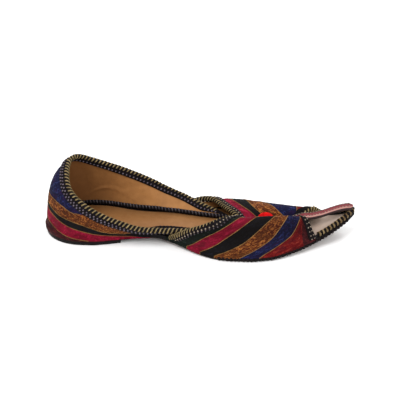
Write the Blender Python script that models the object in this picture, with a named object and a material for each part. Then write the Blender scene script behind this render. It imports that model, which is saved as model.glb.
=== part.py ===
"""Open-sided slipper flat with a curled toe (jutti / mojari pattern), right shoe.

Frame: metres, +X from heel to toe, +Y towards the inner (medial) side of the
foot, +Z up.  The origin is the middle of the heel lift's flat underside.
Tables below are in millimetres.  Their "station" is the distance from the back
of the heel, measured along the foot's long axis.
"""
import math

import bmesh
import bpy
import numpy as np

MM = 0.001

# ---------------------------------------------------------------- driving sizes
HEEL_REST_STATION = 34.0    # station of the origin, in the middle of the heel lift
HEEL_ARC_STATION = 36.0     # the heel's round back ends here and the sides begin
HEEL_ROUNDNESS = 1.92       # exponent of the heel's super-ellipse
TIP_WIDTH = 2.0             # width left at the very tip of the sole

GAP = 0.3                   # running gap between neighbouring pieces
LIFT_THICKNESS = 3.0
LIFT_END_STATION = 69.0
LIFT_INSET = 0.6
OUTSOLE_THICKNESS = 2.6
MARGIN_THICKNESS = 1.3      # the upper's lasting margin, which lies on the outsole
MARGIN_WIDTH = 4.6
MARGIN_INSET = 0.2
INSOLE_THICKNESS = 1.6
WING_LIFT = 1.1             # middle of the wings' lower edge above the insole
WALL = 1.6                  # the upper's wall
FOOT_INSET = 1.2            # vamp wall's middle, inwards from the sole's edge

BINDING_WALL = 0.7
BINDING_GAP = 0.42          # tape's legs to the wall that they hold
COLLAR_LEGS = (6.4, 4.6)    # outside and inside
FRONT_LEGS = (4.8, 4.0)
BINDING_EDGE_GAP = 0.80     # inside the roll, over the wall's edge
BINDING_CROWN = 1.4         # how far the roll stands beyond the edge that it covers

STRIP_WIDTH = 8.6
STRIP_THICKNESS = 2.0

POMPOM_RADIUS = 7.1
POMPOM_HALF_HEIGHT = 4.4
POMPOM_STATION = 187.0
POMPOM_CLEAR = 0.42         # under the pompom's lowest lock
POMPOM_LOCKS_ROUND = 9
POMPOM_LOCK_DEPTH = 0.45

PIPING_RADIUS = 1.1
PIPING_CLEAR = 0.4          # cord's gap to the quarter's wall
PIPING_END = 0.065          # share of the quarter's run left free at each wing's tip
RIM_CLEAR = 3.0             # toe rim's start, forward of the opening's foot
RIM_LIFT = 0.45             # toe rim's underside above the lasting margin

# ---------------------------------------------------------------- shape tables
# The sole's plan and its underside, a row for each section.
SOLE_COLUMNS = ("station", "lateral", "medial", "underside")
SOLE = (
    (36.0, 30.4, 30.0, 3.3),
    (46.0, 30.2, 29.6, 3.3),
    (58.0, 27.8, 27.4, 3.3),
    (70.0, 24.6, 24.2, 3.3),
    (84.0, 22.4, 21.2, 3.7),
    (96.0, 21.7, 20.0, 4.1),
    (108.0, 24.4, 22.2, 3.8),
    (121.0, 30.4, 27.6, 2.5),
    (135.0, 38.0, 33.4, 0.9),
    (148.0, 42.8, 37.0, 0.0),
    (160.0, 44.6, 39.0, 0.0),
    (174.0, 44.4, 39.4, 0.0),
    (190.0, 41.4, 37.0, 0.0),
    (210.0, 31.8, 30.2, 1.8),
    (223.0, 23.2, 24.6, 3.7),
    (231.0, 17.6, 20.6, 5.7),
    (240.0, 11.6, 16.4, 8.8),
    (248.0, 6.0, 12.4, 12.4),
    (254.5, 0.8, 8.6, 16.0),
    (258.0, -3.0, 5.0, 18.2),
)

# Cross-sections of the vamp: it stands up from the sole's edge, swells into a
# high outer half, dips into the seam valley that holds the toe strip, and rises
# again into a lower inner half.
VAMP_COLUMNS = ("station", "shoulder_y", "shoulder_z", "crest_y", "crest_z", "bank_y", "bank_z",
                "valley_y", "valley_z", "inner_crest_y", "inner_crest_z",
                "inner_shoulder_y", "inner_shoulder_z")
VAMP = (
    (104.0, -27.5, 12.5, -25.0, 23.0, -18.0, 28.0, -6.0, 28.0, 12.0, 26.0, 28.5, 16.0),
    (120.0, -32.5, 16.0, -29.5, 26.5, -20.0, 29.0, -7.0, 25.0, 14.0, 22.0, 32.2, 17.6),
    (136.0, -38.5, 18.5, -31.5, 28.0, -21.5, 28.5, -8.0, 20.0, 14.0, 17.5, 31.2, 14.4),
    (151.0, -43.0, 18.5, -31.0, 28.5, -21.0, 26.5, -8.5, 17.0, 12.0, 15.5, 31.5, 13.8),
    (166.0, -43.5, 19.0, -29.5, 29.0, -20.0, 24.0, -8.5, 13.2, 10.5, 16.0, 31.0, 13.8),
    (186.0, -40.0, 20.0, -26.5, 29.8, -18.8, 22.5, -8.2, 9.6, 9.5, 18.0, 27.0, 13.6),
    (200.0, -34.5, 19.5, -22.0, 28.4, -15.0, 21.6, -6.5, 10.2, 8.5, 19.4, 23.5, 13.2),
    (212.0, -27.5, 17.5, -16.5, 25.4, -10.6, 19.2, -4.0, 12.4, 7.5, 20.0, 20.0, 13.4),
    (224.0, -19.5, 14.5, -11.0, 20.0, -6.8, 17.6, -1.5, 14.8, 7.8, 19.6, 16.5, 13.6),
    (240.0, -9.0, 14.6, -4.0, 18.4, -1.6, 18.6, 2.6, 18.6, 8.0, 18.6, 12.0, 15.0),
)
VALLEY_HALF_WIDTH = 4.3
# Share of the way across, from the outer foot to the inner foot, of each line.
ACROSS = (0.0, 0.15, 0.31, 0.41, 0.505, 0.58, 0.71, 0.875, 1.0)
# Stations where the throat and the toe opening cut the vamp, on the same lines.
THROAT = (107.5, 120.5, 151.0, 163.0, 168.0, 166.0, 154.5, 134.0, 111.0)
TOE_OPENING = (226.0, 223.0, 217.6, 214.6, 212.5, 214.0, 224.0, 231.5, 235.0)

# The quarter, from the inner wing's tip round the heel to the outer wing's tip.
# It stands in the lasting margin at the heel, and forward of the waist its wings
# run on above the insole, inside the vamp.  Curl is how much of the lean from
# base to collar is saved for the last few millimetres below the collar.
QUARTER_COLUMNS = ("base_x", "base_y", "on_insole", "top_x", "top_y", "top_z", "swell", "curl")
QUARTER = (
    (146.0, 16.2, 1.0, 146.5, 18.0, 8.8, 0.0, 0.0),
    (132.0, 16.4, 1.0, 132.0, 22.0, 13.4, 0.2, 0.0),
    (116.0, 16.8, 1.0, 115.0, 28.2, 18.8, 0.4, 0.0),
    (102.0, 17.2, 1.0, 99.0, 30.5, 25.0, 0.6, 0.0),
    (92.0, 17.8, 0.0, 89.0, 31.0, 30.1, 0.7, 0.0),
    (82.0, 19.6, 0.0, 80.0, 31.0, 34.3, 0.8, 0.0),
    (66.0, 23.2, 0.0, 65.0, 30.5, 40.6, 1.2, 0.0),
    (46.0, 27.5, 0.0, 50.0, 29.2, 46.4, 1.6, 0.1),
    (31.0, 27.4, 0.0, 38.0, 25.8, 51.9, 1.8, 0.2),
    (19.0, 23.6, 0.0, 31.0, 21.8, 56.0, 1.4, 0.35),
    (9.0, 16.4, 0.0, 26.4, 16.2, 58.4, 0.8, 0.46),
    (4.0, 9.2, 0.0, 24.2, 9.2, 58.2, 0.5, 0.54),
    (2.0, 0.0, 0.0, 24.4, 0.0, 55.4, 0.5, 0.56),
    (4.0, -9.2, 0.0, 26.4, -9.6, 51.6, 0.8, 0.54),
    (9.0, -16.6, 0.0, 29.2, -17.0, 47.4, 1.4, 0.46),
    (19.0, -24.0, 0.0, 33.8, -22.6, 43.0, 2.0, 0.35),
    (31.0, -27.8, 0.0, 42.0, -27.8, 37.9, 2.2, 0.2),
    (46.0, -28.1, 0.0, 54.0, -30.0, 30.7, 1.8, 0.1),
    (66.0, -23.6, 0.0, 71.0, -29.6, 22.7, 1.0, 0.0),
    (82.0, -20.6, 0.0, 86.0, -28.5, 17.0, 0.6, 0.0),
    (92.0, -19.4, 0.0, 95.0, -28.0, 15.9, 0.5, 0.0),
    (102.0, -18.8, 1.0, 104.0, -27.5, 15.4, 0.4, 0.0),
    (116.0, -17.4, 1.0, 117.0, -26.0, 14.8, 0.3, 0.0),
    (132.0, -16.8, 1.0, 132.0, -22.5, 12.8, 0.2, 0.0),
    (146.0, -16.6, 1.0, 146.5, -19.0, 8.8, 0.0, 0.0),
)

# The toe strip's line, from its point on the throat to its end on the toe's tip.
STRIP_COLUMNS = ("station", "centre_y", "underside")
STRIP = (
    (163.0, -8.4, 17.0),
    (175.0, -8.4, 16.0),
    (187.0, -8.0, 14.0),
    (200.0, -6.0, 15.4),
    (212.0, -2.4, 19.3),
    (222.0, -0.6, 17.4),
    (231.0, 1.6, 18.5),
    (240.0, 3.2, 21.4),
    (248.0, 4.1, 23.8),
    (256.6, 4.4, 25.4),
)
STRIP_ROUND_END = 4.0       # length over which the strip's end is rounded
STRIP_POINT = 9.0           # length of its point at the throat
STRIP_LEAVES_VAMP = (212.0, 222.0)
STRIP_CLEAR = 1.0           # added above the bindings that the strip crosses

# ---------------------------------------------------------------- finishes
FINISHES = {
    "outsole": ((0.030, 0.022, 0.018), 0.75),
    "heel_lift": ((0.025, 0.018, 0.015), 0.80),
    "insole": ((0.420, 0.230, 0.110), 0.55),
    "upper": ((0.300, 0.030, 0.070), 0.70),
    "collar_binding": ((0.020, 0.017, 0.015), 0.80),
    "throat_binding": ((0.020, 0.017, 0.015), 0.80),
    "toe_opening_binding": ((0.020, 0.017, 0.015), 0.80),
    "toe_rim_binding": ((0.035, 0.025, 0.020), 0.80),
    "toe_strip": ((0.160, 0.025, 0.035), 0.55),
    "pompom": ((0.700, 0.020, 0.015), 0.90),
    "insole_piping": ((0.030, 0.022, 0.020), 0.80),
}


# ---------------------------------------------------------------- curves
def smooth(knots, values, where):
    """Cubic curve through values at knots, without overshoot; values may have columns."""
    knots = np.asarray(knots, float)
    values = np.asarray(values, float)
    if values.ndim == 1:
        return smooth(knots, values[:, None], where)[..., 0]
    steps = np.diff(knots)[:, None]
    rises = np.diff(values, axis=0) / steps
    tangents = np.zeros_like(values)
    tangents[0], tangents[-1] = rises[0], rises[-1]
    before, after = rises[:-1], rises[1:]
    weight_before = 2 * steps[1:] + steps[:-1]
    weight_after = steps[1:] + 2 * steps[:-1]
    same_way = before * after > 0
    shared = np.where(same_way, before * after, 1.0)
    mixed = weight_before * np.where(same_way, after, 1.0) + weight_after * np.where(same_way, before, 1.0)
    tangents[1:-1] = np.where(same_way, (weight_before + weight_after) * shared / mixed, 0.0)
    where = np.clip(np.asarray(where, float), knots[0], knots[-1])
    left = np.clip(np.searchsorted(knots, where, side="right") - 1, 0, len(knots) - 2)
    step = steps[left]
    part = ((where - knots[left]) / step[..., 0])[..., None]
    return ((2 * part**3 - 3 * part**2 + 1) * values[left]
            + (part**3 - 2 * part**2 + part) * step * tangents[left]
            + (3 * part**2 - 2 * part**3) * values[left + 1]
            + (part**3 - part**2) * step * tangents[left + 1])


def round_curve(knots, values, where):
    """Cubic curve through values at knots with free, rounded tangents."""
    knots = np.asarray(knots, float)
    values = np.asarray(values, float)
    steps = np.diff(knots)[:, None]
    rises = np.diff(values, axis=0) / steps
    tangents = np.zeros_like(values)
    tangents[0], tangents[-1] = rises[0], rises[-1]
    tangents[1:-1] = (rises[:-1] * steps[1:] + rises[1:] * steps[:-1]) / (steps[1:] + steps[:-1])
    left = np.clip(np.searchsorted(knots, where, side="right") - 1, 0, len(knots) - 2)
    step = steps[left, 0]
    part = (where - knots[left]) / step
    return ((2 * part**3 - 3 * part**2 + 1) * values[left]
            + (part**3 - 2 * part**2 + part) * step * tangents[left]
            + (3 * part**2 - 2 * part**3) * values[left + 1]
            + (part**3 - part**2) * step * tangents[left + 1])


def unit(vector):
    """The vector at length one."""
    return vector / np.linalg.norm(vector)


# ---------------------------------------------------------------- the sole's plan
SOLE_TABLE = np.array(SOLE)
STATIONS = SOLE_TABLE[:, 0]


def underside(station):
    """Height of the outsole's underside."""
    return float(smooth(STATIONS, SOLE_TABLE[:, 3], max(station, STATIONS[0])))


def outsole_top(station):
    """Height of the outsole's upper face."""
    return underside(station) + OUTSOLE_THICKNESS


def margin_bottom(station):
    """Height of the lasting margin's lower face, and of the insole's."""
    return outsole_top(station) + GAP


def margin_top(station):
    """Height of the lasting margin's upper face."""
    return margin_bottom(station) + MARGIN_THICKNESS


def insole_top(station):
    """Height of the insole's upper face, where the foot stands."""
    return margin_bottom(station) + INSOLE_THICKNESS


def half_width(station, column):
    """Distance of the sole's edge from the long axis on one side (column 1 or 2)."""
    return float(smooth(STATIONS, SOLE_TABLE[:, column], station))


def edge_y(station, column, inset):
    """Y of the sole's edge on one side, moved inwards square to the edge."""
    side = -1.0 if column == 1 else 1.0
    if station <= HEEL_ARC_STATION:
        depth = HEEL_ARC_STATION - inset
        reach = half_width(HEEL_ARC_STATION, column) - inset
        share = min(1.0, (HEEL_ARC_STATION - station) / depth)
        return side * reach * (1.0 - share**HEEL_ROUNDNESS) ** (1.0 / HEEL_ROUNDNESS)
    step = 0.5
    slope = (half_width(station + step, column) - half_width(station - step, column)) / (2 * step)
    return side * (half_width(station, column) - inset * math.hypot(1.0, slope))


def tip_station(inset):
    """Station where the inset outline has narrowed to the tip's width."""
    low, high = 200.0, STATIONS[-1]
    for _ in range(40):
        middle = (low + high) / 2
        width = edge_y(middle, 2, inset) - edge_y(middle, 1, inset)
        if width > TIP_WIDTH:
            low = middle
        else:
            high = middle
    return low


def outline(inset, arc_steps, side_steps, end_station=None):
    """Rows of (station, outer y, inner y) from the heel's back to the tip."""
    rows = []
    for step in range(arc_steps):
        turn = math.radians(90.0 * step / arc_steps)
        station = HEEL_ARC_STATION - (HEEL_ARC_STATION - inset) * math.cos(turn)
        rows.append((station, edge_y(station, 1, inset), edge_y(station, 2, inset)))
    end = tip_station(inset) if end_station is None else end_station
    for step in range(side_steps + 1):
        station = HEEL_ARC_STATION + (end - HEEL_ARC_STATION) * step / side_steps
        rows.append((station, edge_y(station, 1, inset), edge_y(station, 2, inset)))
    return rows


def loop_of(rows, height):
    """One closed loop of points round an outline, at a height that follows the station."""
    outer = [(x, y, height(x)) for x, y, _ in rows]
    inner = [(x, y, height(x)) for x, _, y in rows[1:]]
    return outer + inner[::-1]


# ---------------------------------------------------------------- the vamp's surface
VAMP_TABLE = np.array(VAMP)


def vamp_point(station, across):
    """Middle of the vamp's wall at a station, across from outer foot (0) to inner foot (1)."""
    row = smooth(VAMP_TABLE[:, 0], VAMP_TABLE[:, 1:], station)
    foot_z = margin_bottom(station) + MARGIN_THICKNESS / 2
    valley_y, valley_z = row[6], row[7]
    knots = np.array((
        (edge_y(station, 1, FOOT_INSET), foot_z),
        (row[0], row[1]),
        (row[2], row[3]),
        (row[4], row[5]),
        (valley_y - VALLEY_HALF_WIDTH, valley_z + 0.2),
        (valley_y + VALLEY_HALF_WIDTH, valley_z + 0.2),
        (row[8], row[9]),
        (row[10], row[11]),
        (edge_y(station, 2, FOOT_INSET), foot_z),
    ))
    y, z = round_curve(ACROSS, knots, across)
    return np.array((station, y, z))


def throat_station(across):
    """Station of the throat's edge on the vamp."""
    return float(smooth(ACROSS, THROAT, across))


def opening_station(across):
    """Station of the toe opening's edge on the vamp."""
    return float(smooth(ACROSS, TOE_OPENING, across))


# ---------------------------------------------------------------- the quarter's surface
QUARTER_TABLE = np.array(QUARTER)


def quarter_knots():
    """Distance along the quarter of each row of its table, scaled to run from 0 to 1."""
    middle = (QUARTER_TABLE[:, :2] + QUARTER_TABLE[:, 3:5]) / 2
    runs = np.linalg.norm(np.diff(middle, axis=0), axis=1)
    knots = np.concatenate(((0.0,), np.cumsum(runs)))
    return knots / knots[-1]


QUARTER_KNOTS = quarter_knots()


def quarter_point(along, up):
    """Middle of the quarter's wall: along from inner to outer wing, up from base to collar."""
    row = round_curve(QUARTER_KNOTS, QUARTER_TABLE, along)
    base_x, base_y, on_insole, top_x, top_y, top_z, swell, curl = row
    lift = min(1.0, max(0.0, on_insole))
    in_margin = margin_bottom(base_x) + MARGIN_THICKNESS / 2
    above_insole = insole_top(base_x) + WING_LIFT
    base = np.array((base_x, base_y, in_margin + (above_insole - in_margin) * lift))
    top = np.array((top_x, top_y, top_z))
    ahead = round_curve(QUARTER_KNOTS, QUARTER_TABLE, min(1.0, along + 0.002))
    behind = round_curve(QUARTER_KNOTS, QUARTER_TABLE, max(0.0, along - 0.002))
    run = ahead[:2] - behind[:2]
    outward = unit(np.array((run[1], -run[0], 0.0)))
    lean = (1.0 - curl) * up + curl * up**8
    return base + (top - base) * np.array((lean, lean, up)) + outward * swell * 4 * up * (1 - up)


# ---------------------------------------------------------------- work on a surface
def surface_frame(surface, first, second, step=1e-3):
    """Point, its two derivatives and the unit normal of a surface of two parameters."""
    scale_first = step * (200.0 if surface is vamp_point else 1.0)
    point = surface(first, second)
    along_first = (surface(first + scale_first, second) - surface(first - scale_first, second)) / (2 * scale_first)
    along_second = (surface(first, second + step) - surface(first, second - step)) / (2 * step)
    return point, along_first, along_second, unit(np.cross(along_first, along_second))


# ---------------------------------------------------------------- meshes
def to_frame(point):
    """A point in millimetres from the heel's back, moved to the origin and to metres."""
    return ((point[0] - HEEL_REST_STATION) * MM, point[1] * MM, point[2] * MM)


def finish_of(name):
    """Material of one sub-part."""
    colour, roughness = FINISHES[name]
    material = bpy.data.materials.new(name)
    material.use_nodes = True
    shader = material.node_tree.nodes["Principled BSDF"]
    shader.inputs["Base Color"].default_value = (*colour, 1.0)
    shader.inputs["Roughness"].default_value = roughness
    material.diffuse_color = (*colour, 1.0)
    return material


def make_object(name, points, faces, finish=None, round_off=None):
    """Object from points in millimetres and faces, with its faces turned outwards."""
    mesh = bpy.data.meshes.new(name)
    mesh.from_pydata([to_frame(p) for p in points], [], faces)
    shape = bmesh.new()
    shape.from_mesh(mesh)
    bmesh.ops.recalc_face_normals(shape, faces=shape.faces)
    if shape.calc_volume(signed=True) < 0.0:
        bmesh.ops.reverse_faces(shape, faces=shape.faces)
    shape.to_mesh(mesh)
    shape.free()
    if round_off is not None:
        mesh.shade_smooth()
        mesh.set_sharp_from_angle(angle=math.radians(round_off))
    thing = bpy.data.objects.new(name, mesh)
    bpy.context.scene.collection.objects.link(thing)
    if finish is not None:
        mesh.materials.append(finish_of(finish))
    return thing


def bridge(count, loops, closed):
    """Quads between loops of count points each, and back to the first loop where closed."""
    faces = []
    last = loops if closed else loops - 1
    for ring in range(last):
        low, high = ring * count, ((ring + 1) % loops) * count
        for index in range(count):
            after = (index + 1) % count
            faces.append((low + index, low + after, high + after, high + index))
    return faces


ARC_STEPS = 10
SIDE_STEPS = 36


def slab(name, rings, side_steps=SIDE_STEPS, end_station=None):
    """Flat-topped plate on the sole's plan; rings are (inset, height) from below to above."""
    points = []
    for inset, height in rings:
        points += loop_of(outline(inset, ARC_STEPS, side_steps, end_station), height)
    rows = ARC_STEPS + side_steps + 1
    count = 2 * rows - 1
    faces = bridge(count, len(rings), closed=False)
    for ring in (0, len(rings) - 1):
        start = ring * count
        for row in range(rows - 1):
            outer, next_outer = start + row, start + row + 1
            inner = start + (count - row) % count
            next_inner = start + count - row - 1
            if row == 0:
                faces.append((outer, next_outer, next_inner))
            else:
                faces.append((outer, next_outer, next_inner, inner))
    return make_object(name, points, faces, name, round_off=40)


def shell(name, middle, normals):
    """Wall of even thickness about a grid of middle points."""
    first, second = middle.shape[:2]
    outside = middle + normals * WALL / 2
    inside = middle - normals * WALL / 2
    points = [tuple(p) for p in outside.reshape(-1, 3)] + [tuple(p) for p in inside.reshape(-1, 3)]
    under = first * second
    faces = []
    for i in range(first - 1):
        for j in range(second - 1):
            corner = (i * second + j, i * second + j + 1, (i + 1) * second + j + 1, (i + 1) * second + j)
            faces.append(corner)
            faces.append(tuple(under + c for c in corner[::-1]))
    rim = ([j for j in range(second)] + [i * second + second - 1 for i in range(1, first)]
           + [(first - 1) * second + j for j in range(second - 2, -1, -1)]
           + [i * second for i in range(first - 2, 0, -1)])
    for here, after in zip(rim, rim[1:] + rim[:1]):
        faces.append((here, after, under + after, under + here))
    return make_object(name, points, faces)


# ---------------------------------------------------------------- the upper
VAMP_STEPS_ALONG = 18
VAMP_ACROSS = np.concatenate((np.linspace(0.0, 0.15, 4), np.linspace(0.185, 0.715, 16),
                              np.linspace(0.745, 1.0, 9)))
QUARTER_STEPS_ALONG = 52
QUARTER_UP = (0.0, 0.3, 0.55, 0.74, 0.87, 0.95, 1.0)


def vamp_grid():
    """Middle points and normals of the vamp, from the throat's edge to the toe opening."""
    middle, normals = [], []
    for step in range(VAMP_STEPS_ALONG + 1):
        share = step / VAMP_STEPS_ALONG
        row, row_normals = [], []
        for across in VAMP_ACROSS:
            start, end = throat_station(across), opening_station(across)
            point, _, _, normal = surface_frame(vamp_point, start + (end - start) * share, across)
            row.append(point)
            row_normals.append(normal)
        middle.append(row)
        normals.append(row_normals)
    return np.array(middle), np.array(normals)


def quarter_along():
    """Steps along the quarter, closer round the heel than on the wings."""
    even = np.linspace(-1.0, 1.0, QUARTER_STEPS_ALONG + 1)
    return 0.5 + 0.5 * (0.72 * even + 0.28 * even**3)


def quarter_grid():
    """Middle points and normals of the quarter, from its base to the collar."""
    middle, normals = [], []
    for along in quarter_along():
        row, row_normals = [], []
        for up in QUARTER_UP:
            point, _, _, normal = surface_frame(quarter_point, along, up)
            row.append(point)
            row_normals.append(normal)
        middle.append(row)
        normals.append(row_normals)
    return np.array(middle), np.array(normals)


def lasting_margin():
    """Flat ring turned in under the foot, on which vamp and quarter stand."""
    wide = outline(MARGIN_INSET, ARC_STEPS, SIDE_STEPS)
    narrow = outline(MARGIN_INSET + MARGIN_WIDTH, ARC_STEPS, SIDE_STEPS)
    points = (loop_of(wide, margin_bottom) + loop_of(wide, margin_top)
              + loop_of(narrow, margin_top) + loop_of(narrow, margin_bottom))
    count = len(points) // 4
    return make_object("upper", points, bridge(count, 4, closed=True), "upper")


def join(target, piece):
    """Add a closed piece to the target with a Boolean union, and keep it as a guide."""
    union = target.modifiers.new("join " + piece.name, "BOOLEAN")
    union.operation = "UNION"
    union.solver = "EXACT"
    union.object = piece
    piece.hide_render = True
    piece.display_type = "WIRE"


def build_upper():
    """The hollow upper: margin, vamp and quarter as one solid."""
    upper = lasting_margin()
    join(upper, shell("vamp_form", *vamp_grid()))
    join(upper, shell("quarter_form", *quarter_grid()))
    upper.data.shade_smooth()
    upper.data.set_sharp_from_angle(angle=math.radians(35))


# ---------------------------------------------------------------- bindings
def leg_spot(surface, spot, run, inwards, reach, floor):
    """Parameters on the surface at a distance inwards from its edge, kept above a floor."""
    start = surface(*spot)
    stride = 0.01 * np.array(inwards)
    for _ in range(5):
        travel = surface(*(spot + stride)) - start
        distance = np.linalg.norm(travel - run * np.dot(travel, run))
        stride = stride * reach / distance
    end = surface(*(spot + stride))
    lowest = floor(end[0])
    if end[2] < lowest:
        stride = stride * max(0.2, (start[2] - lowest) / (start[2] - end[2]))
    return stride


def binding(name, surface, edge, inwards, legs, floor):
    """Folded tape over an edge of a surface.

    edge lists the surface's parameters along the edge, inwards is the change of
    parameters that leads away from it, legs are the lengths of the tape's two
    legs, and floor gives the height at a station below which they don't reach.
    """
    inner_half = WALL / 2 + BINDING_GAP
    outer_half = inner_half + BINDING_WALL
    places = [surface(*spot) for spot in edge]
    points = []
    for index, spot in enumerate(edge):
        point, _, _, normal = surface_frame(surface, *spot)
        run = unit(places[min(index + 1, len(edge) - 1)] - places[max(index - 1, 0)])
        section = []
        for leg, side in ((legs[0], 1.0), (legs[1], -1.0)):
            stride = leg_spot(surface, spot, run, inwards, leg, floor)
            feet = []
            for share in (1.0, 0.5):
                foot, _, _, foot_normal = surface_frame(surface, *(spot + stride * share))
                feet.append((foot, foot_normal * side))
            feet.append((point, normal * side))
            outer = [foot + way * outer_half for foot, way in feet]
            inner = [foot + way * inner_half for foot, way in feet]
            away = unit(np.cross(normal, run))
            if np.dot(away, point - feet[0][0]) < 0.0:
                away = -away
            outer.append(point + away * BINDING_CROWN * 0.75 + normal * side * outer_half * 0.68)
            inner.append(point + away * BINDING_EDGE_GAP + normal * side * inner_half)
            section.append((outer, inner))
        (outer, inner), (far_outer, far_inner) = section
        crown = [point + away * (BINDING_CROWN + 0.1)]
        points += outer + crown + far_outer[::-1] + far_inner + inner[::-1]
    count = len(points) // len(edge)
    faces = bridge(count, len(edge), closed=False)
    faces.append(tuple(range(count))[::-1])
    faces.append(tuple(range(len(points) - count, len(points))))
    return make_object(name, points, faces, name, round_off=50)


def build_bindings():
    """Tapes on the collar, the throat and the toe opening."""
    collar = [np.array((along, 1.0)) for along in quarter_along()]
    binding("collar_binding", quarter_point, collar, (0.0, -1.0), COLLAR_LEGS,
            lambda x: insole_top(x) + 3.2)
    throat = [np.array((throat_station(a), a)) for a in VAMP_ACROSS if 0.04 < a < 0.96]
    binding("throat_binding", vamp_point, throat, (1.0, 0.0), FRONT_LEGS, margin_top)
    opening = [np.array((opening_station(a), a)) for a in VAMP_ACROSS if 0.04 < a < 0.96]
    binding("toe_opening_binding", vamp_point, opening, (-1.0, 0.0), FRONT_LEGS, margin_top)


def build_toe_rim():
    """Roll of tape on the sole's edge round the open toe, from foot to foot of the opening."""
    profile = ((0.4, 0.0), (0.1, 1.5), (0.9, 3.0), (2.7, 3.1), (3.5, 1.6), (3.3, 0.0))
    steps = 12
    points = []
    for inset, rise in profile:
        end = tip_station(inset)
        outer, inner = [], []
        for step in range(steps + 1):
            for side, column, start in ((outer, 1, TOE_OPENING[0]), (inner, 2, TOE_OPENING[-1])):
                station = start + RIM_CLEAR + (end - start - RIM_CLEAR) * step / steps
                height = margin_top(station) + RIM_LIFT + rise
                side.append((station, edge_y(station, column, inset), height))
        points += outer + inner[::-1]
    count = 2 * (steps + 1)
    faces = []
    for ring in range(len(profile)):
        low, high = ring * count, ((ring + 1) % len(profile)) * count
        for index in range(count - 1):
            faces.append((low + index, low + index + 1, high + index + 1, high + index))
    faces.append(tuple(ring * count for ring in range(len(profile))))
    faces.append(tuple(ring * count + count - 1 for ring in range(len(profile)))[::-1])
    make_object("toe_rim_binding", points, faces, "toe_rim_binding", round_off=50)


# ---------------------------------------------------------------- trims
STRIP_TABLE = np.array(STRIP)


def vamp_above(station, y):
    """Point above the vamp at a station and y where a piece lies clear of both bindings."""
    low, high = ACROSS[2], ACROSS[6]
    for _ in range(30):
        middle = (low + high) / 2
        if vamp_point(station, middle)[1] < y:
            low = middle
        else:
            high = middle
    point, _, _, normal = surface_frame(vamp_point, station, low)
    clearance = WALL / 2 + BINDING_GAP + BINDING_WALL + STRIP_CLEAR
    return point[2] + clearance / max(0.5, abs(normal[2]))


def strip_half_width(station):
    """Half the toe strip's width: a point at the throat, a round end at the tip."""
    half = STRIP_WIDTH / 2
    from_start = station - STRIP_TABLE[0, 0]
    to_end = STRIP_TABLE[-1, 0] - station
    if from_start < STRIP_POINT:
        return 0.6 + (half - 0.6) * from_start / STRIP_POINT
    if to_end < STRIP_ROUND_END:
        return half * math.sqrt(max(0.04, 1.0 - (1.0 - to_end / STRIP_ROUND_END) ** 2))
    return half


def strip_underside(station):
    """Points across the strip's underside."""
    centre_y, height = smooth(STRIP_TABLE[:, 0], STRIP_TABLE[:, 1:], station)
    begin, end = STRIP_LEAVES_VAMP
    free = min(1.0, max(0.0, (station - begin) / (end - begin)))
    free = free * free * (3.0 - 2.0 * free)
    row = []
    for share in (-1.0, -0.5, 0.0, 0.5, 1.0):
        y = centre_y + strip_half_width(station) * share
        on_vamp = vamp_above(station, y) if free < 1.0 else height
        row.append((station, y, on_vamp + (height - on_vamp) * free))
    return row


def build_strip():
    """Leather strip that covers the vamp's seam and runs out to the toe's tip."""
    start, end = STRIP_TABLE[0, 0], STRIP_TABLE[-1, 0]
    stations = list(np.linspace(start, end - STRIP_ROUND_END, 26))
    stations += [end - STRIP_ROUND_END * share for share in (0.7, 0.4, 0.15, 0.0)]
    points = []
    for station in stations:
        lower = strip_underside(station)
        upper = [(x, y, z + STRIP_THICKNESS) for x, y, z in lower]
        points += lower + upper[::-1]
    count = len(points) // len(stations)
    faces = bridge(count, len(stations), closed=False)
    faces.append(tuple(range(count))[::-1])
    faces.append(tuple(range(len(points) - count, len(points))))
    make_object("toe_strip", points, faces, "toe_strip", round_off=40)


def build_pompom():
    """Flattened ball of yarn with its locks raised, on the toe strip."""
    rounds, rows = 27, 12
    centre_y = float(smooth(STRIP_TABLE[:, 0], STRIP_TABLE[:, 1], POMPOM_STATION))
    seat = vamp_above(POMPOM_STATION, centre_y) + STRIP_THICKNESS + POMPOM_CLEAR
    centre_z = seat + POMPOM_HALF_HEIGHT
    points = []
    for row in range(1, rows):
        tilt = math.pi * row / rows - math.pi / 2
        for index in range(rounds):
            turn = 2 * math.pi * (index + 0.5 * (row % 2)) / rounds
            lock = math.cos(POMPOM_LOCKS_ROUND * turn) * math.cos(3 * tilt)
            depth = POMPOM_LOCK_DEPTH * (lock - 1.0) / 2
            radius = (POMPOM_RADIUS + depth) * math.cos(tilt)
            points.append((POMPOM_STATION + radius * math.cos(turn), centre_y + radius * math.sin(turn),
                           centre_z + (POMPOM_HALF_HEIGHT + depth) * math.sin(tilt)))
    points += [(POMPOM_STATION, centre_y, centre_z - POMPOM_HALF_HEIGHT),
               (POMPOM_STATION, centre_y, centre_z + POMPOM_HALF_HEIGHT)]
    faces = bridge(rounds, rows - 1, closed=False)
    bottom, top = len(points) - 2, len(points) - 1
    last = (rows - 2) * rounds
    for index in range(rounds):
        after = (index + 1) % rounds
        faces.append((after, index, bottom))
        faces.append((last + index, last + after, top))
    make_object("pompom", points, faces, "pompom", round_off=60)


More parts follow.
